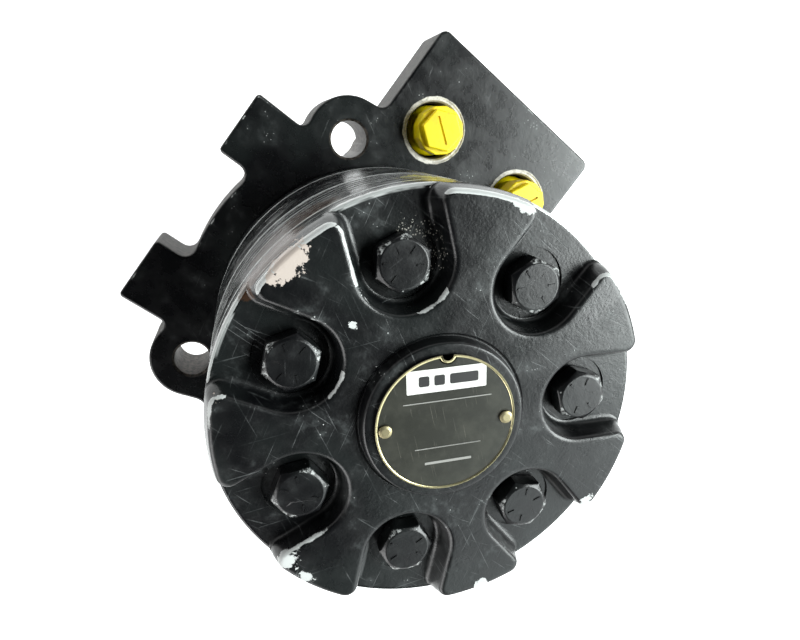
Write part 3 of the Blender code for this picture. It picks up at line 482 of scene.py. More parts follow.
def plate_face(name):
    """Dark olive etched face inside a bright brass rim, brushed along the reading direction."""
    shader = Shader(name)
    brushed = shader.noise(1.0, 3.0, 0.6, shader.stretched(-LABEL_TURN, (1 / 16, 1 / 0.22, 1 / 16)))
    cloud = shader.noise(8, 4, 0.6)
    olive = shader.mix(shader.ramp(cloud, 0.35, 0.7), rgb(0.026, 0.027, 0.021), rgb(0.046, 0.047, 0.037))
    scuff = scratches(shader, 0.7, 0.16, 9, 0.045)
    olive = shader.mix(shader.scaled(scuff, 0.4), olive, rgb(0.16, 0.15, 0.10))
    rim = shader.ramp(shader.axis(2), PLATE_HIGH.z - 0.22, PLATE_HIGH.z - 0.08)
    brass = shader.mix(cloud, rgb(0.72, 0.66, 0.40), rgb(0.55, 0.48, 0.26))
    shader.relief(shader.total(shader.scaled(brushed, 0.012), shader.scaled(scuff, -0.015)))
    gloss = shader.blend(rim, shader.scaled(brushed, 0.15, 0.28), 0.28)
    return shader.finish(shader.mix(rim, olive, brass), gloss, shader.blend(rim, 0.25, 1.0))


def printed_ink(name, colour):
    shader = Shader(name)
    worn = shader.ramp(shader.noise(1.1, 4, 0.7), 0.62, 0.74)
    shade = shader.mix(shader.scaled(worn, 0.5), colour, rgb(0.18, 0.18, 0.15))
    shader.relief(shader.scaled(shader.noise(0.4, 2), 0.01))
    return shader.finish(shade, shader.blend(worn, 0.42, 0.6))


def pale_floor(name):
    shader = Shader(name)
    tone = shader.mix(shader.noise(240, 2), rgb(0.86, 0.86, 0.86), rgb(0.90, 0.90, 0.90))
    shader.feed(shader.surface.inputs["Emission Color"], tone)
    shader.surface.inputs["Emission Strength"].default_value = 0.8
    return shader.finish(tone, 0.85)


# ------------------------------------------------------------------ mesh tools

NO_RADIUS = 1e-6    # below this a turned profile has reached its axis


def polar(radius, angle, z=0.0):
    return Vector((radius * math.cos(angle), radius * math.sin(angle), z))


def arc(centre, radius, start, end, steps):
    """Points on an arc in XY; angles in degrees, both ends included."""
    points = []
    for i in range(steps + 1):
        angle = math.radians(start + (end - start) * i / steps)
        points.append((centre[0] + radius * math.cos(angle), centre[1] + radius * math.sin(angle)))
    return points


def rounded(corners, steps=5, guard=0.7):
    """Round a closed outline that runs counter-clockwise.

    Each corner is (x, y, radius). Returns (x, y, edge), where edge is 1 on a rounded outer corner and
    falls to 0 on the points just beside it, which keep the flats between corners flat.
    """
    points = []
    for i, (x, y, radius) in enumerate(corners):
        here = Vector((x, y))
        if not radius:
            points.append((x, y, 0.0))
            continue
        before = Vector(corners[i - 1][:2]) - here
        after = Vector(corners[(i + 1) % len(corners)][:2]) - here
        a, b = before.normalized(), after.normalized()
        half = a.angle(b) / 2
        reach = radius / math.tan(half)
        centre = here + (a + b).normalized() * radius / math.sin(half)
        outer = a.x * b.y - a.y * b.x < 0
        start = here + a * reach - centre
        sweep = (math.pi - 2 * half) * (1 if outer else -1)
        room = min(guard, 0.4 * (before.length - reach), 0.4 * (after.length - reach))
        if outer and room > 0.05:
            points.append((*(here + a * (reach + room)), 0.0))
        for step in range(steps + 1):
            spoke = Matrix.Rotation(sweep * step / steps, 2) @ start
            edge = 0.45 + 0.55 * math.sin(math.pi * step / steps) if outer else 0.0
            points.append((*(centre + spoke), edge))
        if outer and room > 0.05:
            points.append((*(here + b * (reach + room)), 0.0))
    return points


def swung(outline, angle):
    """An outline of (x, y, edge) turned about Z."""
    turn = Matrix.Rotation(angle, 2)
    return [(*(turn @ Vector((x, y))), edge) for x, y, edge in outline]


def polygon(count, radius, rounding):
    """Corners of a regular polygon, the first on +X."""
    return [(*polar(radius, TURN * k / count).xy, rounding) for k in range(count)]


def mesh_with_edges():
    bm = bmesh.new()
    bm.verts.layers.float.new("edge")
    return bm


def add_ring(bm, points, edges=None):
    """Vertices at points, with their edge wear: one number for all or one each."""
    layer = bm.verts.layers.float.get("edge")
    ring = [bm.verts.new(point) for point in points]
    for i, vertex in enumerate(ring):
        vertex[layer] = edges[i] if isinstance(edges, (list, tuple)) else (edges or 0.0)
    return ring


def skin(bm, rings, closed=False):
    """Faces between vertex rings of equal length; a ring of one vertex is a pole."""
    pairs = list(zip(rings, rings[1:]))
    if closed:
        pairs.append((rings[-1], rings[0]))
    for low, high in pairs:
        count = max(len(low), len(high))
        for i in range(count):
            j = (i + 1) % count
            corners = [low[i % len(low)], low[j % len(low)], high[j % len(high)], high[i % len(high)]]
            corners = list(dict.fromkeys(corners))
            if len(corners) > 2:
                bm.faces.new(corners)


def turned_rings(bm, profile, sides, centre=(0.0, 0.0), phase=0.0):
    """Rings of a profile of (radius, z, edge) turned about a vertical line; no radius makes a pole."""
    rings = []
    for radius, z, edge in profile:
        if radius < NO_RADIUS:
            rings.append(add_ring(bm, [(centre[0], centre[1], z)], edge))
            continue
        spots = [polar(radius, TURN * i / sides + phase, z) for i in range(sides)]
        rings.append(add_ring(bm, [(centre[0] + p.x, centre[1] + p.y, p.z) for p in spots], edge))
    return rings


def add_turned(bm, profile, sides=96, centre=(0.0, 0.0), phase=0.0):
    """Turn a profile of (radius, z, edge) about a vertical line, as a closed body."""
    skin(bm, turned_rings(bm, profile, sides, centre, phase), closed=profile[0][0] > NO_RADIUS)
    return bm


def add_cylinder(bm, radius, z0, z1, sides, centre=(0.0, 0.0)):
    """An upright cylinder, mostly to cut a round hole with."""
    add_turned(bm, [(0, z0, 0), (radius, z0, 0), (radius, z1, 0), (0, z1, 0)], sides, centre)


def turned(corners, sides=96, steps=4, centre=(0.0, 0.0)):
    """Closed turned body from (radius, z, rounding) corners, counter-clockwise with radius to the right."""
    return add_turned(mesh_with_edges(), rounded(corners, steps), sides, centre)


def add_prism(bm, outline, z0, z1, bevel=0.0, steps=3):
    """A flat plate with an outline of (x, y, edge); bevel rounds both rims by moving in along normals."""
    count = len(outline)
    normals = []
    for i in range(count):
        before, after = Vector(outline[i - 1][:2]), Vector(outline[(i + 1) % count][:2])
        along = (after - before).normalized()
        normals.append(Vector((along.y, -along.x)))

    def ring(inset, z, rim_edge):
        points, edges = [], []
        for (x, y, edge), normal in zip(outline, normals):
            points.append((x - normal.x * inset, y - normal.y * inset, z))
            edges.append(max(rim_edge, edge if inset <= bevel else 0.0))
        return add_ring(bm, points, edges)

    rings = []
    if bevel:
        rings.append(ring(1.3 * bevel, z0, 0.0))
        for step in range(steps + 1):
            angle = math.pi / 2 * step / steps
            edge = 0.45 + 0.55 * math.sin(2 * angle)
            rings.append(ring(bevel * (1 - math.sin(angle)), z0 + bevel * (1 - math.cos(angle)), edge))
        rings.append(ring(0.0, z0 + 1.6 * bevel, 0.0))
        rings.append(ring(0.0, z1 - 1.6 * bevel, 0.0))
        for step in range(steps, -1, -1):
            angle = math.pi / 2 * step / steps
            edge = 0.45 + 0.55 * math.sin(2 * angle)
            rings.append(ring(bevel * (1 - math.sin(angle)), z1 - bevel * (1 - math.cos(angle)), edge))
        rings.append(ring(1.3 * bevel, z1, 0.0))
    else:
        rings = [ring(0.0, z0, 0.0), ring(0.0, z1, 0.0)]
    skin(bm, rings)
    bm.faces.new(list(reversed(rings[0])))
    bm.faces.new(rings[-1])
    return bm


def add_rod(bm, start, end, radius, sides=48):
    start, end = Vector(start), Vector(end)
    turn = UP.rotation_difference(end - start).to_matrix().to_4x4()
    bmesh.ops.create_cone(bm, cap_ends=True, segments=sides, radius1=radius, radius2=radius,
                          depth=(end - start).length, matrix=Matrix.Translation((start + end) / 2) @ turn)


def add_box(bm, size, placed=Matrix.Identity(4)):
    bmesh.ops.create_cube(bm, size=1, matrix=placed @ Matrix.Diagonal((*size, 1)))


def link_object(name, data):
    made = bpy.data.objects.new(name, data)
    bpy.context.scene.collection.objects.link(made)
    return made


def make_object(name, bm, material, sharp=38):
    """Turn a mesh tool's mesh into a shaded piece, still in millimetres."""
    bmesh.ops.recalc_face_normals(bm, faces=bm.faces)
    mesh = bpy.data.meshes.new(name)
    bm.to_mesh(mesh)
    bm.free()
    mesh.materials.append(material)
    piece = link_object(name, mesh)
    shade(piece, sharp)
    return piece


def shade(piece, sharp=38):
    piece.data.shade_smooth()
    piece.data.set_sharp_from_angle(angle=math.radians(sharp))


def combine(piece, bm, operation="DIFFERENCE"):
    """Cut a piece with a tool mesh, or join the tool to it, and keep the result as its mesh."""
    tool = make_object("tool", bm, piece.data.materials[0])
    modifier = piece.modifiers.new("combine", "BOOLEAN")
    modifier.operation = operation
    modifier.solver = "EXACT"
    modifier.object = tool
    graph = bpy.context.evaluated_depsgraph_get()
    made = bpy.data.meshes.new_from_object(piece.evaluated_get(graph))
    old = piece.data
    piece.modifiers.clear()
    piece.data = made
    piece.data.name = piece.name
    bpy.data.meshes.remove(old)
    bpy.data.objects.remove(tool, do_unlink=True)
    shade(piece)


def settle(piece, body, slot, *nodes, resize=True):
    """Scale a finished piece to metres and hang it on its CAD body, in place of its CAD nodes."""
    if resize:
        piece.data.transform(Matrix.Scale(MM, 4))
    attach(piece, body)
    if nodes:
        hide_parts(*nodes)
    return piece


# ------------------------------------------------------------------ end cover

WALL_STEPS = 7
ROUND_STEPS = 6
POCKET_STEPS = 30
SECTOR_STEPS = 20


def cover_path(rim, half_width, corner):
    """The cover's outline, pocket by pocket and counter-clockwise, as (x, y, angle on the rim or None)."""
    points = []
    corner_x = math.sqrt((rim - corner) ** 2 - (half_width + corner) ** 2)
    lean = math.degrees(math.atan2(half_width + corner, corner_x))
    entry = arc((corner_x, -half_width - corner), corner, -lean, 90, ROUND_STEPS)
    wall = [(corner_x + (BOLT_CIRCLE_RADIUS - corner_x) * i / WALL_STEPS, -half_width)
            for i in range(1, WALL_STEPS)]
    end = arc((BOLT_CIRCLE_RADIUS, 0), half_width, -90, -270, POCKET_STEPS)
    half = entry + wall
    local = half + end + [(x, -y) for x, y in reversed(half)]
    for angle in BOLT_ANGLES:
        for i, (x, y) in enumerate(local):
            spot = Matrix.Rotation(angle, 2) @ Vector((x, y))
            share = i / (len(local) - 1)
            points.append((spot.x, spot.y, angle + math.radians(lean) * (2 * share - 1)))
        gap = TURN / len(BOLT_ANGLES) - 2 * math.radians(lean)
        for i in range(1, SECTOR_STEPS):
            along = angle + math.radians(lean) + gap * i / SECTOR_STEPS
            points.append((rim * math.cos(along), rim * math.sin(along), None))
    return points


def make_end_cover(material):
    """Cover casting: seven sectors with rounded edges over a disc, drafted pockets and a centre boss."""
    bm = mesh_with_edges()
    base_half = POCKET_HALF_WIDTH - POCKET_DRAFT
    base = cover_path(STACK_RADIUS, base_half, SECTOR_CORNER)
    outer = cover_path(STACK_RADIUS + 1, base_half - 1, SECTOR_CORNER + 1)
    rings = []
    for radius, z, edge in ((STACK_RADIUS - 0.9, COVER_LOW.z, 0.0), (STACK_RADIUS - 0.4, COVER_LOW.z, 0.5),
                            (STACK_RADIUS, COVER_LOW.z + 0.4, 0.9), (STACK_RADIUS, COVER_LOW.z + 1.0, 0.0)):
        spots = [Vector((x, y)) if angle is None else polar(STACK_RADIUS, angle).xy for x, y, angle in base]
        rings.append(add_ring(bm, [(*(spot * radius / STACK_RADIUS), z) for spot in spots], edge))

    floor_steps = 12
    for step in range(floor_steps + 1):
        points, edges = [], []
        level = POCKET_FLOOR_Z - FLOOR_EDGE + (FLOOR_EDGE + FLOOR_FILLET) * step / floor_steps
        for (x, y, angle), (ox, oy, _) in zip(base, outer):
            if angle is None:
                points.append((x, y, level))
                edges.append(0.0)
                continue
            wall, rim = Vector((x, y)), polar(STACK_RADIUS, angle).xy
            width = (rim - wall).length
            fillet, rounding = min(FLOOR_FILLET, 0.45 * width), min(FLOOR_EDGE, 0.3 * width)
            share = min(1.0, width / 3.0)
            outward = (Vector((ox, oy)) - wall).normalized()
            if step <= 4:
                turn = math.pi / 2 * step / 4
                spot = rim - rim.normalized() * rounding * (1 - math.cos(turn))
                z = POCKET_FLOOR_Z - rounding * (1 - math.sin(turn))
                edge = 0.5 + 0.5 * math.sin(2 * turn)
            elif step == 5:
                spot = rim - rim.normalized() * min(rounding + 0.6, 0.4 * width)
                z, edge = POCKET_FLOOR_Z, 0.0
            else:
                turn = math.pi / 2 * (step - 6) / (floor_steps - 6)
                spot = wall + outward * fillet * (1 - math.sin(turn))
                z, edge = POCKET_FLOOR_Z + fillet * (1 - math.cos(turn)), 0.0
            points.append((spot.x, spot.y, z * share + level * (1 - share)))
            edges.append(edge * share)
        rings.append(add_ring(bm, points, edges))

    wall_top = FACE_Z - COVER_EDGE
    wall_low = POCKET_FLOOR_Z + FLOOR_FILLET
    for share in (0.45, 0.85, 1.0):
        rim = STACK_RADIUS - COVER_RIM_DRAFT * share
        path = cover_path(rim, base_half + POCKET_DRAFT * share, SECTOR_CORNER)
        z = wall_low + (wall_top - wall_low) * share
        rings.append(add_ring(bm, [(x, y, z) for x, y, _ in path], 0.45 if share == 1.0 else 0.0))
    top_rim, top_half = STACK_RADIUS - COVER_RIM_DRAFT, POCKET_HALF_WIDTH
    for step in range(1, 6):
        turn = math.pi / 2 * step / 5
        inset = COVER_EDGE * (1 - math.cos(turn))
        path = cover_path(top_rim - inset, top_half + inset, SECTOR_CORNER - inset)
        z = wall_top + COVER_EDGE * math.sin(turn)
        rings.append(add_ring(bm, [(x, y, z) for x, y, _ in path], 0.45 + 0.55 * math.sin(2 * turn)))
    inset = COVER_EDGE + 0.6
    path = cover_path(top_rim - inset, top_half + inset, SECTOR_CORNER - inset)
    rings.append(add_ring(bm, [(x, y, FACE_Z) for x, y, _ in path], 0.0))
    skin(bm, rings)
    bm.faces.new(list(reversed(rings[0])))

    boss = rounded([(0, FACE_Z - 3, 0), (26, FACE_Z - 3, 0), (26, FACE_Z, 0), (24.4, FACE_Z, 0.15),
                    (24.0, FACE_Z - 0.5, 0.2), (23.5, FACE_Z - 0.5, 0.15), (22.9, BOSS_TOP_Z, 0.9),
                    (0, BOSS_TOP_Z, 0)], 5)[3:]
    boss_rings = turned_rings(bm, [(radius, z, edge / 2) for radius, z, edge in boss], 112)
    skin(bm, boss_rings)
    loops = []
    for ring in (rings[-1], boss_rings[0]):
        loops += [bm.edges.get((ring[i], ring[i - 1])) for i in range(len(ring))]
    bmesh.ops.triangle_fill(bm, edges=loops, use_beauty=True, normal=UP)

    cover = make_object("end_cover_casting", bm, material)
    tools = mesh_with_edges()
    for centre in BOLT_CENTRES:
        hole = [(0, COVER_LOW.z - 1, 0), (BOLT_HOLE_RADIUS, COVER_LOW.z - 1, 0),
                (BOLT_HOLE_RADIUS, SPOT_FACE_Z, 0), (SPOT_FACE_RADIUS, SPOT_FACE_Z, 0),
                (SPOT_FACE_RADIUS, FACE_Z + 2, 0), (0, FACE_Z + 2, 0)]
        add_turned(tools, hole, 64, centre)
    for node in RIVET_NODES:
        add_cylinder(tools, RIVET_HOLE_RADIUS, BOSS_TOP_Z - 4, BOSS_TOP_Z + 1, 20, cad_centre(node))
    combine(cover, tools)
    return settle(cover, "motor_body", "black_paint", "end_cover")


# ------------------------------------------------------------------ clamped stack

def bolt_hole_tools(z0, z1):
    bm = mesh_with_edges()
    for centre in BOLT_CENTRES:
        add_cylinder(bm, BOLT_HOLE_RADIUS, z0, z1, 28, centre)
    return bm


def groove_corners(top):
    """The seal groove in a plate's top face, from outside to inside."""
    inner, outer, depth = SEAL_GROOVE
    return [(outer, top, 0), (outer, top - depth, 0), (inner, top - depth, 0), (inner, top, 0)]


def make_stack_plate(node, name, material, bore, side, sides=160):
    """One round plate of the stack. side is its outer profile, bottom to top, as corners above its base."""
    low, high = cad_box(node)
    corners = [(bore, low.z, 0)] + [(radius, low.z + z, rounding) for radius, z, rounding in side]
    corners += groove_corners(high.z) + [(bore, high.z, 0)]
    plate = make_object(name, turned(corners, sides), material)
    combine(plate, bolt_hole_tools(low.z - 1, high.z + 1))
    return plate


def make_stack(material):
    radius = STACK_RADIUS

    def plain(node, edge=0.5):
        low, high = cad_box(node)
        return [(radius, 0, edge), (radius, high.z - low.z, edge)]

    wear = make_stack_plate("wear_plate", "wear_plate_disc", material, WEAR_PLATE_BORE,
                            plain("wear_plate", 0.7))
    settle(wear, "motor_body", "black_paint", "wear_plate")

    stator = make_stack_plate("stator_ring", "stator_ring_body", material, STATOR_BORE,
                              plain("stator_ring", 0.7))
    seats = mesh_with_edges()
    low, high = cad_box("stator_ring")
    for node in VANE_NODES:
        vane_low, vane_high = cad_box(node)
        seat = (vane_high.x - vane_low.x) / 2 + VANE_SEAT_GAP
        add_cylinder(seats, seat, low.z - 1, high.z + 1, 48, cad_centre(node))
    combine(stator, seats)
    settle(stator, "motor_body", "black_paint", "stator_ring")

    low, high = cad_box("manifold")
    step = (high.z - low.z) / MANIFOLD_LAYERS
    side = []
    for layer in range(MANIFOLD_LAYERS):
        reach = radius - (0.12 if layer % 2 else 0.0)
        side += [(radius - 0.35, layer * step, 0), (reach, layer * step + 0.28, 0.12),
                 (reach, (layer + 1) * step - 0.28, 0.12)]
    side.append((radius - 0.35, high.z - low.z, 0))
    manifold = make_stack_plate("manifold", "manifold_plates", material, MANIFOLD_BORE, side)
    settle(manifold, "motor_body", "black_paint", "manifold")

    ring = make_stack_plate("commutator_ring", "commutator_ring_body", material, COMMUTATOR_BORE,
                            plain("commutator_ring"))
    settle(ring, "motor_body", "black_paint", "commutator_ring")


# ------------------------------------------------------------------ housing

def tangent(centre, radius, degrees):
    """A point on a circle and the counter-clockwise direction there."""
    angle = math.radians(degrees)
    spoke = Vector((math.cos(angle), math.sin(angle)))
    return Vector(centre) + spoke * radius, Vector((-spoke.y, spoke.x))


def meeting(first, second):
    """Where two lines of (point, direction) cross."""
    (p, d), (q, e) = first, second
    share = ((q - p).x * e.y - (q - p).y * e.x) / (d.x * e.y - d.y * e.x)
    return tuple(p + d * share)


def flange_corners():
    """Mounting flange seen from the cover, counter-clockwise, as (x, y, rounding)."""
    ear = MOUNT_CIRCLE_RADIUS * math.sqrt(0.5)
    left_up, left_low, right_low, right_up = (-ear, ear), (-ear, -ear), (ear, -ear), (ear, ear)

    def smooth(points):
        return [(x, y, 0) for x, y in points]

    def ear_arc(centre, start, end):
        return smooth(arc(centre, EAR_RADIUS, start, end, 22))

    def disc_arc(start, end):
        return smooth(arc((0, 0), DISC_RADIUS, start, end, 18))

    def notch(first_centre, first_radius, first_angle, centre, radius, angle, rounding):
        spot = meeting(tangent(first_centre, first_radius, first_angle), tangent(centre, radius, angle))
        return [(*spot, rounding)]

    root = 10.6
    root_x = -(DISC_RADIUS * math.cos(math.radians(root)) - (LUG_INNER - 14.0) * 0.19)
    lug_line = (Vector((0, LUG_OUTER)), Vector((1, 0)))
    low_line = (Vector((0, -LUG_OUTER)), Vector((1, 0)))
    block_line = (Vector((BLOCK_LEFT, 0)), Vector((0, 1)))
    right_line = (Vector((BLOCK_RIGHT, 0)), Vector((0, 1)))
    corners = [(BLOCK_RIGHT, BLOCK_TOP, BLOCK_CORNER), (BLOCK_LEFT, BLOCK_TOP, BLOCK_CORNER)]
    corners.append((*meeting(block_line, tangent(left_up, EAR_RADIUS, 100)), 4.0))
    corners += ear_arc(left_up, 100, 190)
    corners.append((*meeting(lug_line, tangent(left_up, EAR_RADIUS, 190)), 3.2))
    corners += [(-LUG_REACH, LUG_OUTER, 1.6), (-LUG_REACH, LUG_INNER, 1.6), (root_x, LUG_INNER, 4.2)]
    corners += disc_arc(180 - root, 180 + root)
    corners += [(root_x, -LUG_INNER, 4.2), (-LUG_REACH, -LUG_INNER, 1.6), (-LUG_REACH, -LUG_OUTER, 1.6)]
    corners.append((*meeting(low_line, tangent(left_low, EAR_RADIUS, 170)), 3.2))
    corners += ear_arc(left_low, 170, 285)
    corners += notch(left_low, EAR_RADIUS, 285, (0, 0), DISC_RADIUS, 242, 8.0) + disc_arc(242, 298)
    corners += notch((0, 0), DISC_RADIUS, 298, right_low, EAR_RADIUS, 255, 8.0)
    corners += ear_arc(right_low, 255, 375)
    corners += notch(right_low, EAR_RADIUS, 375, (0, 0), DISC_RADIUS, 332, 8.0) + disc_arc(332, 388)
    corners += notch((0, 0), DISC_RADIUS, 388, right_up, EAR_RADIUS, 345, 8.0)
    corners += ear_arc(right_up, 345, 462)
    corners.append((*meeting(right_line, tangent(right_up, EAR_RADIUS, 462)), 4.0))
    return corners


def make_housing(material):
    """The casting: bearing hub, pilot, flange with ears and lugs, and the thick port block."""
    core = [(0, HOUSING_LOW.z, 0), (HUB_RADIUS, HOUSING_LOW.z, 1.6),
            (HUB_RADIUS + 0.6, PILOT_FRONT_Z - 1.5, 0),
            (HUB_RADIUS + 0.6, PILOT_FRONT_Z, 2.2), (PILOT_RADIUS, PILOT_FRONT_Z, 1.2),
            (PILOT_RADIUS, FLANGE_FRONT_Z + 3, 0), (PILOT_RADIUS, FLANGE_REAR_Z - 4, 0),
            (STACK_RADIUS, FLANGE_REAR_Z - 4, 0), (STACK_RADIUS, HOUSING_TOP_Z, 0.6)]
    core += groove_corners(HOUSING_TOP_Z) + [(0, HOUSING_TOP_Z, 0)]
    housing = make_object("housing_casting", turned(core, 160, 5), material)
    flange = add_prism(mesh_with_edges(), rounded(flange_corners(), 5), FLANGE_FRONT_Z, FLANGE_REAR_Z, 0.9, 4)
    combine(housing, flange, "UNION")

    draft = 1.4
    block = rounded([(BLOCK_RIGHT - draft, 32, 0), (BLOCK_RIGHT - draft, BLOCK_TOP - draft, 5.5),
                     (BLOCK_LEFT + draft, BLOCK_TOP - draft, 5.5), (BLOCK_LEFT + draft, 32, 0)], 6)
    combine(housing, add_prism(mesh_with_edges(), block, BLOCK_FRONT_Z, FLANGE_REAR_Z - 6, 2.2, 5), "UNION")

    neck, journal = 16.9, 27.3
    cavity = 32.8
    bore = [(0, HOUSING_LOW.z - 1, 0), (24.9, HOUSING_LOW.z - 1, 0), (24.3, HOUSING_LOW.z + 0.6, 0),
            (24.3, HOUSING_LOW.z + 4.5, 0), (neck, HOUSING_LOW.z + 4.5, 0), (neck, HOUSING_LOW.z + 7.5, 0),
            (journal, HOUSING_LOW.z + 7.5, 0), (journal, HOUSING_LOW.z + 34, 0),
            (cavity, HOUSING_LOW.z + 34, 0),
            (cavity, HOUSING_TOP_Z + 1, 0), (0, HOUSING_TOP_Z + 1, 0)]
    combine(housing, add_turned(mesh_with_edges(), bore, 96, phase=0.011))

    tools = mesh_with_edges()
    for k in range(4):
        centre = polar(MOUNT_CIRCLE_RADIUS, TURN * (k + 0.5) / 4)
        wide = MOUNT_HOLE_RADIUS + 0.9
        hole = [(0, FLANGE_FRONT_Z - 20, 0), (MOUNT_HOLE_RADIUS, FLANGE_FRONT_Z - 20, 0),
                (MOUNT_HOLE_RADIUS, FLANGE_REAR_Z - 0.9, 0.8), (wide, FLANGE_REAR_Z + 0.01, 0),
                (wide, FLANGE_REAR_Z + 2, 0), (0, FLANGE_REAR_Z + 2, 0)]
        add_turned(tools, hole, 48, centre)
    face = FLANGE_REAR_Z - 0.4
    for centre in PORT_CENTRES:
        port = [(0, FLANGE_REAR_Z - PORT_DEPTH, 0), (PORT_RADIUS, FLANGE_REAR_Z - PORT_DEPTH, 0)]
        z = FLANGE_REAR_Z - PORT_DEPTH + 2
        while z < face - 3.4:
            port += [(PORT_RADIUS, z, 0), (PORT_RADIUS + 0.8, z + PORT_PITCH * 0.5, 0)]
            z += PORT_PITCH
        port += [(PORT_RADIUS, face - 2.4, 0), (PORT_RADIUS + 1.1, face, 0), (PORT_FACE_RADIUS, face, 0),
                 (PORT_FACE_RADIUS, FLANGE_REAR_Z + 1, 0), (0, FLANGE_REAR_Z + 1, 0)]
        add_turned(tools, port, 72, centre)
    combine(housing, tools)
    combine(housing, bolt_hole_tools(cad_box(BOLT_NODES[0])[0].z - 3, HOUSING_TOP_Z + 1))
    return settle(housing, "motor_body", "black_paint", "housing")


# ------------------------------------------------------------------ fasteners

def thread_rings(bm, radius, depth, pitch, z0, z1, sides, steps=7):
    """Rings of a helical thread that runs out at both ends."""
    rings = []
    count = int((z1 - z0) / pitch * steps)
    for k in range(count + 1):
        z = z0 + (z1 - z0) * k / count
        fade = min(1.0, (z - z0) / pitch, (z1 - z) / pitch)
        spots, edges = [], []
        for i in range(sides):
            wave = abs(2 * ((z / pitch - i / sides) % 1.0) - 1)
            cut = min(1.0, max(0.0, 1.35 * wave - 0.12))
            spots.append(polar(radius - depth * cut * fade, TURN * i / sides, z))
            edges.append(0.7 * (1 - cut) * fade)
        rings.append(add_ring(bm, spots, edges))
    return rings


def hexagon(flats, rounding, per_side=6):
    """Rounded hexagon as (angle, radius) pairs, a corner on +X."""
    corners = polygon(6, flats / math.sqrt(3), rounding)
    points = [Vector(point[:2]) for point in rounded(corners, 3, 0.01)]
    dense = []
    for i, point in enumerate(points):
        after = points[(i + 1) % len(points)]
        pieces = per_side if (after - point).length > flats / 6 else 1
        dense += [point.lerp(after, k / pieces) for k in range(pieces)]
    return [(math.atan2(point.y, point.x), point.length) for point in dense]


def hexagon_rings(bm, outline, levels):
    """Rings of a hexagon trimmed to a round limit at each (z, limit, edge) level."""
    rings = []
    for z, limit, edge in levels:
        spots = [polar(min(radius, limit), angle, z) for angle, radius in outline]
        edges = [edge * (1.0 if radius > limit - 0.4 else 0.4) for _, radius in outline]
        rings.append(add_ring(bm, spots, edges))
    return rings


def make_cover_bolts(material):
    """Hexagon-head bolts, chamfered on top, with six plain raised marks and a rolled thread."""
    bm = mesh_with_edges()
    top = BOLT_HEAD_HEIGHT
    outline = hexagon(BOLT_FLATS, 0.5)
    face = 6.45
    slope = math.tan(math.radians(30))
    levels = [(0.0, 6.6, 0.0), (0.0, 6.9, 0.2), (0.35, 6.9, 0.2), (0.36, 7.6, 0.0), (0.75, 9.0, 0.3)]
    drop = 1.15
    for k in range(9):
        z = top - drop + drop * k / 8
        levels.append((z, face + (top - z) / slope, 0.9 if 1 < k < 8 else 0.3))
    levels += [(top, face - 0.25, 0.5), (top, face - 0.7, 0.0)]
    head = hexagon_rings(bm, outline, levels)
    skin(bm, head)
    bm.faces.new(head[-1])
    length = BOLT_SEAT_Z - cad_box(BOLT_NODES[0])[0].z
    shank = [add_ring(bm, [polar(radius, angle, z) for angle, _ in outline], 0.0)
             for radius, z in ((BOLT_RADIUS + 0.5, 0.0), (BOLT_RADIUS, -0.6), (BOLT_RADIUS, -length + 26))]
    lead = [add_ring(bm, [polar(radius, angle, z) for angle, _ in outline], 0.0)
            for radius, z in ((BOLT_RADIUS - 0.1, -length + 0.9), (BOLT_RADIUS - 0.9, -length))]
    thread = []
    count = 100
    for k in range(1, count):
        z = -length + 25.5 - (24.3 * k / count)
        fade = min(1.0, k / 6, (count - k) / 6)
        spots = []
        for angle, _ in outline:
            wave = abs(2 * ((z / BOLT_PITCH - angle / TURN) % 1.0) - 1)
            spots.append(polar(BOLT_RADIUS - 0.9 * fade * min(1.0, max(0.0, 1.35 * wave - 0.12)), angle, z))
        thread.append(add_ring(bm, spots, 0.0))
    skin(bm, [head[0]] + shank + thread + lead)
    bm.faces.new(list(reversed(lead[-1])))

    first = make_object(f"{BOLT_NODES[0]}_body", bm, material, 32)
    marks = mesh_with_edges()
    mark = rounded([(3.4, -0.3, 0.2), (5.7, -0.34, 0.25), (5.7, 0.34, 0.25), (3.4, 0.3, 0.2)], 2)
    for k in range(6):
        add_prism(marks, swung(mark, TURN * (k + 0.5) / 6), top - 0.5, top + 0.28)
    combine(first, marks, "UNION")
    bolts = [first]
    bolts += [link_object(f"{node}_body", first.data) for node in BOLT_NODES[1:]]
    for k, (bolt, node, centre) in enumerate(zip(bolts, BOLT_NODES, BOLT_CENTRES)):
        bolt.location = Vector((centre.x, centre.y, BOLT_SEAT_Z)) * MM
        bolt.rotation_euler = (0, 0, 0.9 * k + 0.2)
        settle(bolt, "motor_body", "black_oxide", node, resize=k == 0)


# ------------------------------------------------------------------ nameplate and plugs

def plate_outline(inset):
    """Round plate with one small round notch in its rim."""
    radius, notch = PLATE_RADIUS - inset, 1.6 + inset
    half = math.degrees(math.acos((2 * PLATE_RADIUS ** 2 - 1.6 ** 2) / (2 * PLATE_RADIUS ** 2)))
    start = math.degrees(NOTCH_ANGLE)
    around = arc((0, 0), radius, start + half + 1.2 * inset, start + 360 - half - 1.2 * inset, 120)
    middle = polar(PLATE_RADIUS, NOTCH_ANGLE)
    dent = arc(middle, notch, start - 96, start - 264, 12)
    return around + dent


def bar_outline(x, y, width, height, rounding):
    """A rounded rectangle centred on x and y."""
    corners = [(x + i * width / 2, y + j * height / 2, rounding)
               for i, j in ((-1, -1), (1, -1), (1, 1), (-1, 1))]
    return rounded(corners, 3)


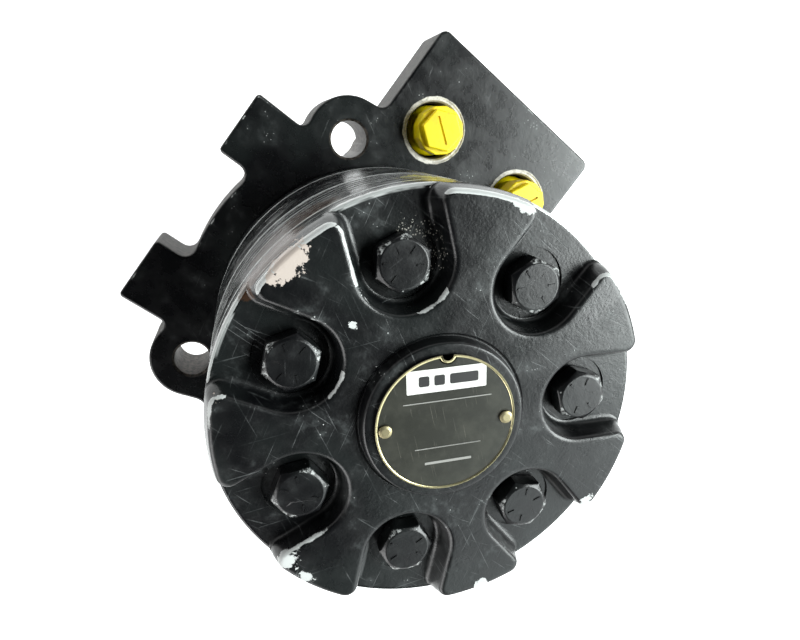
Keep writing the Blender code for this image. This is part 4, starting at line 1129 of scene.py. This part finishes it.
def make_nameplate(material, pale_ink, dark_ink, rule_ink, brass):
    bm = mesh_with_edges()
    low, high = PLATE_LOW.z, PLATE_HIGH.z
    face = high - 0.25
    rings = []
    for inset, z in ((0.3, low), (0.0, low + 0.2), (0.0, high - 0.15), (0.12, high), (0.5, high),
                     (0.68, high - 0.1), (0.75, face), (1.1, face)):
        rings.append(add_ring(bm, [(x, y, z) for x, y in plate_outline(inset)], 0.0))
    skin(bm, rings)
    bm.faces.new(list(reversed(rings[0])))
    bm.faces.new(rings[-1])
    plate = make_object("nameplate_disc", bm, material, 30)
    holes = mesh_with_edges()
    for node in RIVET_NODES:
        add_cylinder(holes, RIVET_HOLE_RADIUS, low - 1, high + 1, 24, cad_centre(node))
    combine(plate, holes)
    settle(plate, "motor_body", "olive_plate", "nameplate")

    label = [bar_outline(0.15, 13.1, 22.3, 6.6, 0.3)]
    mark = [bar_outline(x, 13.1, width, 2.9, 0.5) for x, width in ((-6.2, 2.9), (-1.9, 2.9), (5.0, 8.0))]
    rules = [bar_outline(0.4, y, width, height, 0.12)
             for y, width, height in ((7.0, 25.0, 0.28), (-6.8, 19.0, 0.28), (-11.4, 13.5, 0.75))]
    for name, ink, outlines, sink, rise in (("nameplate_label", pale_ink, label, 0.1, 0.08),
                                            ("nameplate_mark", dark_ink, mark, 0.0, 0.14),
                                            ("nameplate_rules", rule_ink, rules, 0.1, 0.06)):
        bm = mesh_with_edges()
        for outline in outlines:
            add_prism(bm, swung(outline, LABEL_TURN), face - sink, face + rise)
        settle(make_object(name, bm, ink), "motor_body", "olive_plate")

    for node in RIVET_NODES:
        low_corner, high_corner = cad_box(node)
        spot = cad_centre(node)
        top = high_corner.z
        profile = [(0, low_corner.z, 0), (1.3, low_corner.z, 0.3), (1.3, top - 1.25, 0),
                   (1.9, top - 1.25, 0.1), (1.85, top - 0.75, 0.25), (1.1, top - 0.5, 0.3), (0, top - 0.5, 0)]
        bm = turned(profile, 36, 4, spot)
        settle(make_object(f"{node}_body", bm, brass), "motor_body", "brass", node)


def make_port_plugs(material):
    """Moulded plugs: ribbed body, waist, faceted collar and a hexagon with a screwdriver slot."""
    for node, centre, turn in zip(PLUG_NODES, PORT_CENTRES, PLUG_TURNS):
        ribs = [(0, -13, 0), (8.9, -13, 0.3), (9.6, -12, 0.2)]
        for k in range(3):
            z = -11.4 + PORT_PITCH * k
            ribs += [(9.15, z, 0.15), (9.6, z + 0.9, 0.2)]
        ribs += [(9.2, -6.0, 0), (7.8, -5.0, 0.3), (7.8, 1.8, 0)]
        bm = add_turned(mesh_with_edges(), rounded(ribs + [(0, 1.8, 0)], 2, 0.1), 64)
        plug = make_object(f"{node}_body", bm, material, 34)
        outline = rounded(polygon(12, PLUG_COLLAR_RADIUS, 0.8), 2, 0.05)
        combine(plug, add_prism(mesh_with_edges(), outline, 1.4, 8.6, 0.4, 3), "UNION")
        outline = rounded(polygon(6, PLUG_FLATS / math.sqrt(3), 0.7), 3, 0.1)
        combine(plug, add_prism(mesh_with_edges(), outline, 8.0, 10.8, 0.45, 3), "UNION")
        slot = mesh_with_edges()
        add_box(slot, (10.6, 0.75, 1.6), Matrix.Translation((0, 0, 10.8)))
        combine(plug, slot)
        plug.location = Vector((centre.x, centre.y, FLANGE_REAR_Z)) * MM
        plug.rotation_euler = (0, 0, math.radians(turn))
        settle(plug, "motor_body", "yellow_plastic", node)


# ------------------------------------------------------------------ output shaft, nut, key and dirt seal

def make_output_shaft(material, nut_material, seal_material):
    bm = mesh_with_edges()
    sides = 96
    thread_radius, thread_top, taper_top = SHAFT_THREAD_RADIUS, SHAFT_THREAD_TOP_Z, TAPER_TOP_Z
    point = [(0, 0, 0), (thread_radius - 1.3, 0, 0.4), (thread_radius, 1.3, 0), (0, 1.3, 0)]
    low = rounded(point, 3, 0.3)[:-2]
    rest = [(thread_radius - 0.9, thread_top - 2.6, 0), (thread_radius - 0.9, thread_top - 0.9, 0),
            (13.25, thread_top, 0.4), (15.875, taper_top, 0.3), (16.0, taper_top + 0.6, 0), (16.0, 80.0, 0),
            (19.0, 80.9, 0.4), (19.0, 112.0, 0), (29.5, 112.0, 0.5), (29.5, 115.4, 0.5), (25.0, 115.6, 0),
            (25.0, SHAFT_TOP_Z - 1.0, 0), (24.0, SHAFT_TOP_Z, 0)]
    corners = [(0, 20, 0)] + rest + [(0, SHAFT_TOP_Z, 0)]
    upper = rounded(corners, 3, 0.5)[1:]
    rings = turned_rings(bm, low, sides)
    rings += thread_rings(bm, thread_radius, SHAFT_THREAD_DEPTH, SHAFT_THREAD_PITCH, 1.3,
                          thread_top - 2.8, sides)[1:]
    skin(bm, rings + turned_rings(bm, upper, sides))
    shaft = make_object("output_shaft_body", bm, material)

    key_low, key_high = cad_box("shaft_key")
    key_mid = cad_centre("shaft_key")
    disc_radius, half = KEY_DISC_RADIUS, (key_high.y - key_low.y) / 2 + 0.3
    key_x = key_low.x + disc_radius
    tools = mesh_with_edges()
    add_rod(tools, (key_x, -half, key_mid.z), (key_x, half, key_mid.z), disc_radius + 0.3, 96)
    add_rod(tools, (-20, 0, 8), (20, 0, 8), 2.3, 40)
    centre_drill = [(0, -1, 0), (3.4, -1, 0), (3.0, 0.6, 0), (0.2, 4.4, 0), (0, 4.4, 0)]
    add_turned(tools, centre_drill, 40)
    spline = []
    for tooth in range(SPLINE_TEETH):
        middle = 360 / SPLINE_TEETH * tooth
        for radius, offset in ((13.2, -11.2), (15.6, -7.4), (15.6, 7.4), (13.2, 11.2)):
            spline.append((*polar(radius, math.radians(middle + offset)).xy, 0.0))
    add_prism(tools, spline, 106, SHAFT_TOP_Z + 1)
    combine(shaft, tools)
    settle(shaft, "shaft", "machined_steel", "output_shaft")

    half_angle = math.degrees(math.acos(2.4 / disc_radius))
    side = [(x, y, 0.0) for x, y in arc((0, 0), disc_radius, 180 - half_angle, 180 + half_angle, 40)]
    key = make_object("shaft_key_body", add_prism(mesh_with_edges(), side, -half + 0.3, half - 0.3, 0.3, 2),
                      nut_material)
    key.location = Vector((key_x, 0, key_mid.z)) * MM
    key.rotation_euler = (math.pi / 2, 0, 0)
    settle(key, "shaft", "machined_steel", "shaft_key")

    low, high = cad_box("castle_nut")
    bm = mesh_with_edges()
    outline = hexagon(NUT_FLATS, 0.8, 8)
    crown = 16.4
    levels = [(low.z, crown - 1.4, 0.0), (low.z, crown - 0.8, 0.6), (low.z + 0.3, crown - 0.3, 0.9),
              (low.z + 1.0, crown, 0.4), (low.z + 6.8, crown, 0.0)]
    slope = math.tan(math.radians(32))
    for k in range(10):
        reach = crown + 0.3 + 4.7 * k / 9
        levels.append((low.z + 6.9 + (reach - crown - 0.3) * slope, reach, 0.7))
    for k in range(8):
        reach = 21.4 - 3.9 * k / 7
        levels.append((high.z - (reach - 17.5) * slope * 0.9, reach, 0.7))
    levels.append((high.z, 16.6, 0.0))
    rings = hexagon_rings(bm, outline, levels)
    skin(bm, rings)
    bm.faces.new(list(reversed(rings[0])))
    bm.faces.new(rings[-1])
    nut = make_object("castle_nut_body", bm, nut_material, 30)
    bore = [(0, low.z - 1, 0), (14.2, low.z - 1, 0), (12.85, low.z + 1, 0), (12.85, high.z - 1, 0),
            (14.2, high.z + 1, 0), (0, high.z + 1, 0)]
    combine(nut, add_turned(mesh_with_edges(), bore, 96))
    for k in range(3):
        slots = mesh_with_edges()
        turn = Matrix.Rotation(k * TURN / 6, 4, "Z")
        add_box(slots, (50, 4.6, 14), turn @ Matrix.Translation((0, 0, low.z - 0.6)))
        combine(nut, slots)
    settle(nut, "shaft", "machined_steel", "castle_nut")

    low, high = cad_box("dirt_seal")
    neck = 16.3
    dirt = [(neck + 1.6, low.z, 0.3), (23.9, low.z, 0.5), (23.9, low.z + 3.9, 0.3),
            (20.5, low.z + 3.9, 0.2), (20.0, low.z + 1.8, 0.3), (neck + 2.2, low.z + 3.6, 0.2),
            (neck, low.z + 3.6, 0), (neck, low.z + 3.0, 0)]
    seal = make_object("dirt_seal_body", turned(dirt, 96, 3), seal_material)
    settle(seal, "motor_body", "rubber", "dirt_seal")


# ------------------------------------------------------------------ carried-over CAD nodes

def finish_cad_nodes(finishes):
    """Give each CAD node that still shows its procedural material."""
    for nodes, material, slot in finishes:
        for node in nodes:
            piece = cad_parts[node]
            piece.data.materials.clear()
            piece.data.materials.append(material)


# ------------------------------------------------------------------ camera, light and floor

LENS = 27.28                                   # for a sensor 36 mm wide
CAMERA_PLACE = Vector((-84.95, 29.40, FACE_Z + 146.06))
CAMERA_FORWARD = Vector((0.36586, -0.08790, -0.92651))
CAMERA_UP = Vector((-0.53077, 0.79805, -0.28530))
LIGHT_TARGET = (0, 0, 0.2)                     # metres, as the lights' places are
FLOOR_HALF = 9.0                               # metres


def make_camera():
    data = bpy.data.cameras.new("camera")
    data.sensor_width = 36.0
    data.lens = LENS
    data.clip_start = 0.01
    camera = link_object("camera", data)
    forward = CAMERA_FORWARD.normalized()
    right = forward.cross(CAMERA_UP).normalized()
    up = right.cross(forward)
    turn = Matrix((right, up, -forward)).transposed().to_4x4()
    camera.matrix_world = Matrix.Translation(CAMERA_PLACE * MM) @ turn
    bpy.context.scene.camera = camera


def add_area_light(name, place, target, size, power, colour=(1.0, 1.0, 1.0)):
    data = bpy.data.lights.new(name, "AREA")
    data.shape = "RECTANGLE"
    data.size, data.size_y = size
    data.energy = power
    data.color = colour
    light = link_object(name, data)
    light.location = place
    light.rotation_euler = (Vector(target) - Vector(place)).to_track_quat("-Z", "Y").to_euler()


def make_studio():
    mesh = bpy.data.meshes.new("floor")
    half = FLOOR_HALF
    corners = [(-half, -half, 0), (half, -half, 0), (half, half, 0), (-half, half, 0)]
    mesh.from_pydata(corners, [], [(0, 1, 2, 3)])
    mesh.materials.append(pale_floor("pale_floor"))
    floor = link_object("floor", mesh)

    add_area_light("key", (0.78, 0.62, 1.10), LIGHT_TARGET, (0.90, 0.75), 34.0, (0.94, 1.0, 0.99))
    add_area_light("right_fill", (1.05, -0.20, 0.95), LIGHT_TARGET, (0.85, 0.85), 5.5, (0.92, 1.0, 1.0))
    add_area_light("near_fill", (-0.1, -1.2, 0.8), LIGHT_TARGET, (1.2, 0.8), 14.0)
    world = bpy.data.worlds.new("studio")
    bpy.context.scene.world = world
    world.use_nodes = True
    tree = world.node_tree
    height = tree.nodes.new("ShaderNodeSeparateXYZ")
    tree.links.new(tree.nodes.new("ShaderNodeTexCoord").outputs["Generated"], height.inputs[0])
    ramp = tree.nodes.new("ShaderNodeMapRange")
    tree.links.new(height.outputs[2], ramp.inputs["Value"])
    for key, value in (("From Min", 0.25), ("From Max", 0.55), ("To Min", 0.8), ("To Max", 0.002)):
        ramp.inputs[key].default_value = value
    background = tree.nodes["Background"]
    background.inputs["Color"].default_value = rgb(1.0, 1.0, 1.0)
    tree.links.new(ramp.outputs[0], background.inputs["Strength"])
    bpy.context.scene.view_settings.view_transform = "Standard"


# ------------------------------------------------------------------ build

def build():
    cover_paint = painted("cover_paint", cast=0.35, wear=0.42, side_wear_and_highlight=0.85, scratch=1.0,
                          chips=COVER_CHIPS, rubs=COVER_RUBS, extra=cover_extra, roughness=0.27)
    housing_paint = painted("housing_paint", cast=0.2, wear=0.38, side_wear_and_highlight=0.1, scratch=0.1,
                            extra=housing_extra, roughness=0.25)
    stack_paint = painted("stack_paint", cast=0.15, wear=0.5, side_wear_and_highlight=0.7, scratch=0.6,
                          extra=stack_extra, roughness=0.20, specular=0.3)
    bolt_paint = painted("bolt_paint", cast=0.3, wear=0.55, side_wear_and_highlight=0.1, scratch=0.3, roughness=0.30)
    steel = turned_steel("machined_steel", rgb(0.42, 0.41, 0.39))
    nut_steel = turned_steel("nut_steel", rgb(0.34, 0.33, 0.31), roughness=0.34, groove=0.5)
    hard_steel = turned_steel("hardened_steel", rgb(0.62, 0.62, 0.62), roughness=0.14, groove=0.15,
                              tinted=0.12)
    bronze = turned_steel("bronze", rgb(0.52, 0.34, 0.14), roughness=0.30, tint=rgb(0.25, 0.13, 0.05))
    brass = turned_steel("brass", rgb(0.34, 0.30, 0.18), roughness=0.45, tint=rgb(0.12, 0.10, 0.05),
                         tinted=0.6)
    seal_rubber = rubber("rubber")
    yellow = yellow_plastic("yellow_plastic")
    plate = plate_face("olive_plate")
    pale_ink = printed_ink("pale_ink", rgb(0.80, 0.80, 0.76))
    dark_ink = printed_ink("dark_ink", rgb(0.02, 0.02, 0.02))
    rule_ink = printed_ink("rule_ink", rgb(0.30, 0.30, 0.28))

    make_end_cover(cover_paint)
    make_stack(stack_paint)
    make_housing(housing_paint)
    make_cover_bolts(bolt_paint)
    make_nameplate(plate, pale_ink, dark_ink, rule_ink, brass)
    make_port_plugs(yellow)
    make_output_shaft(steel, nut_steel, seal_rubber)
    seals = [f"body_seal_{k}" for k in range(1, 6)] + ["commutator_seal", "shaft_seal"]
    turned_nodes = ["rotor", "drive_link", "commutator", "seal_backup_washer"]
    hard_nodes = VANE_NODES + ["front_bearing_shell", "rear_bearing_shell", "thrust_washer"]
    cages = ["front_needle_cage", "rear_needle_cage", "thrust_roller_cage"]
    finish_cad_nodes([(seals, seal_rubber, "rubber"), (turned_nodes, steel, "machined_steel"),
                      (hard_nodes, hard_steel, "hardened_steel"), (cages, bronze, "bronze")])
    make_camera()
    make_studio()


build()
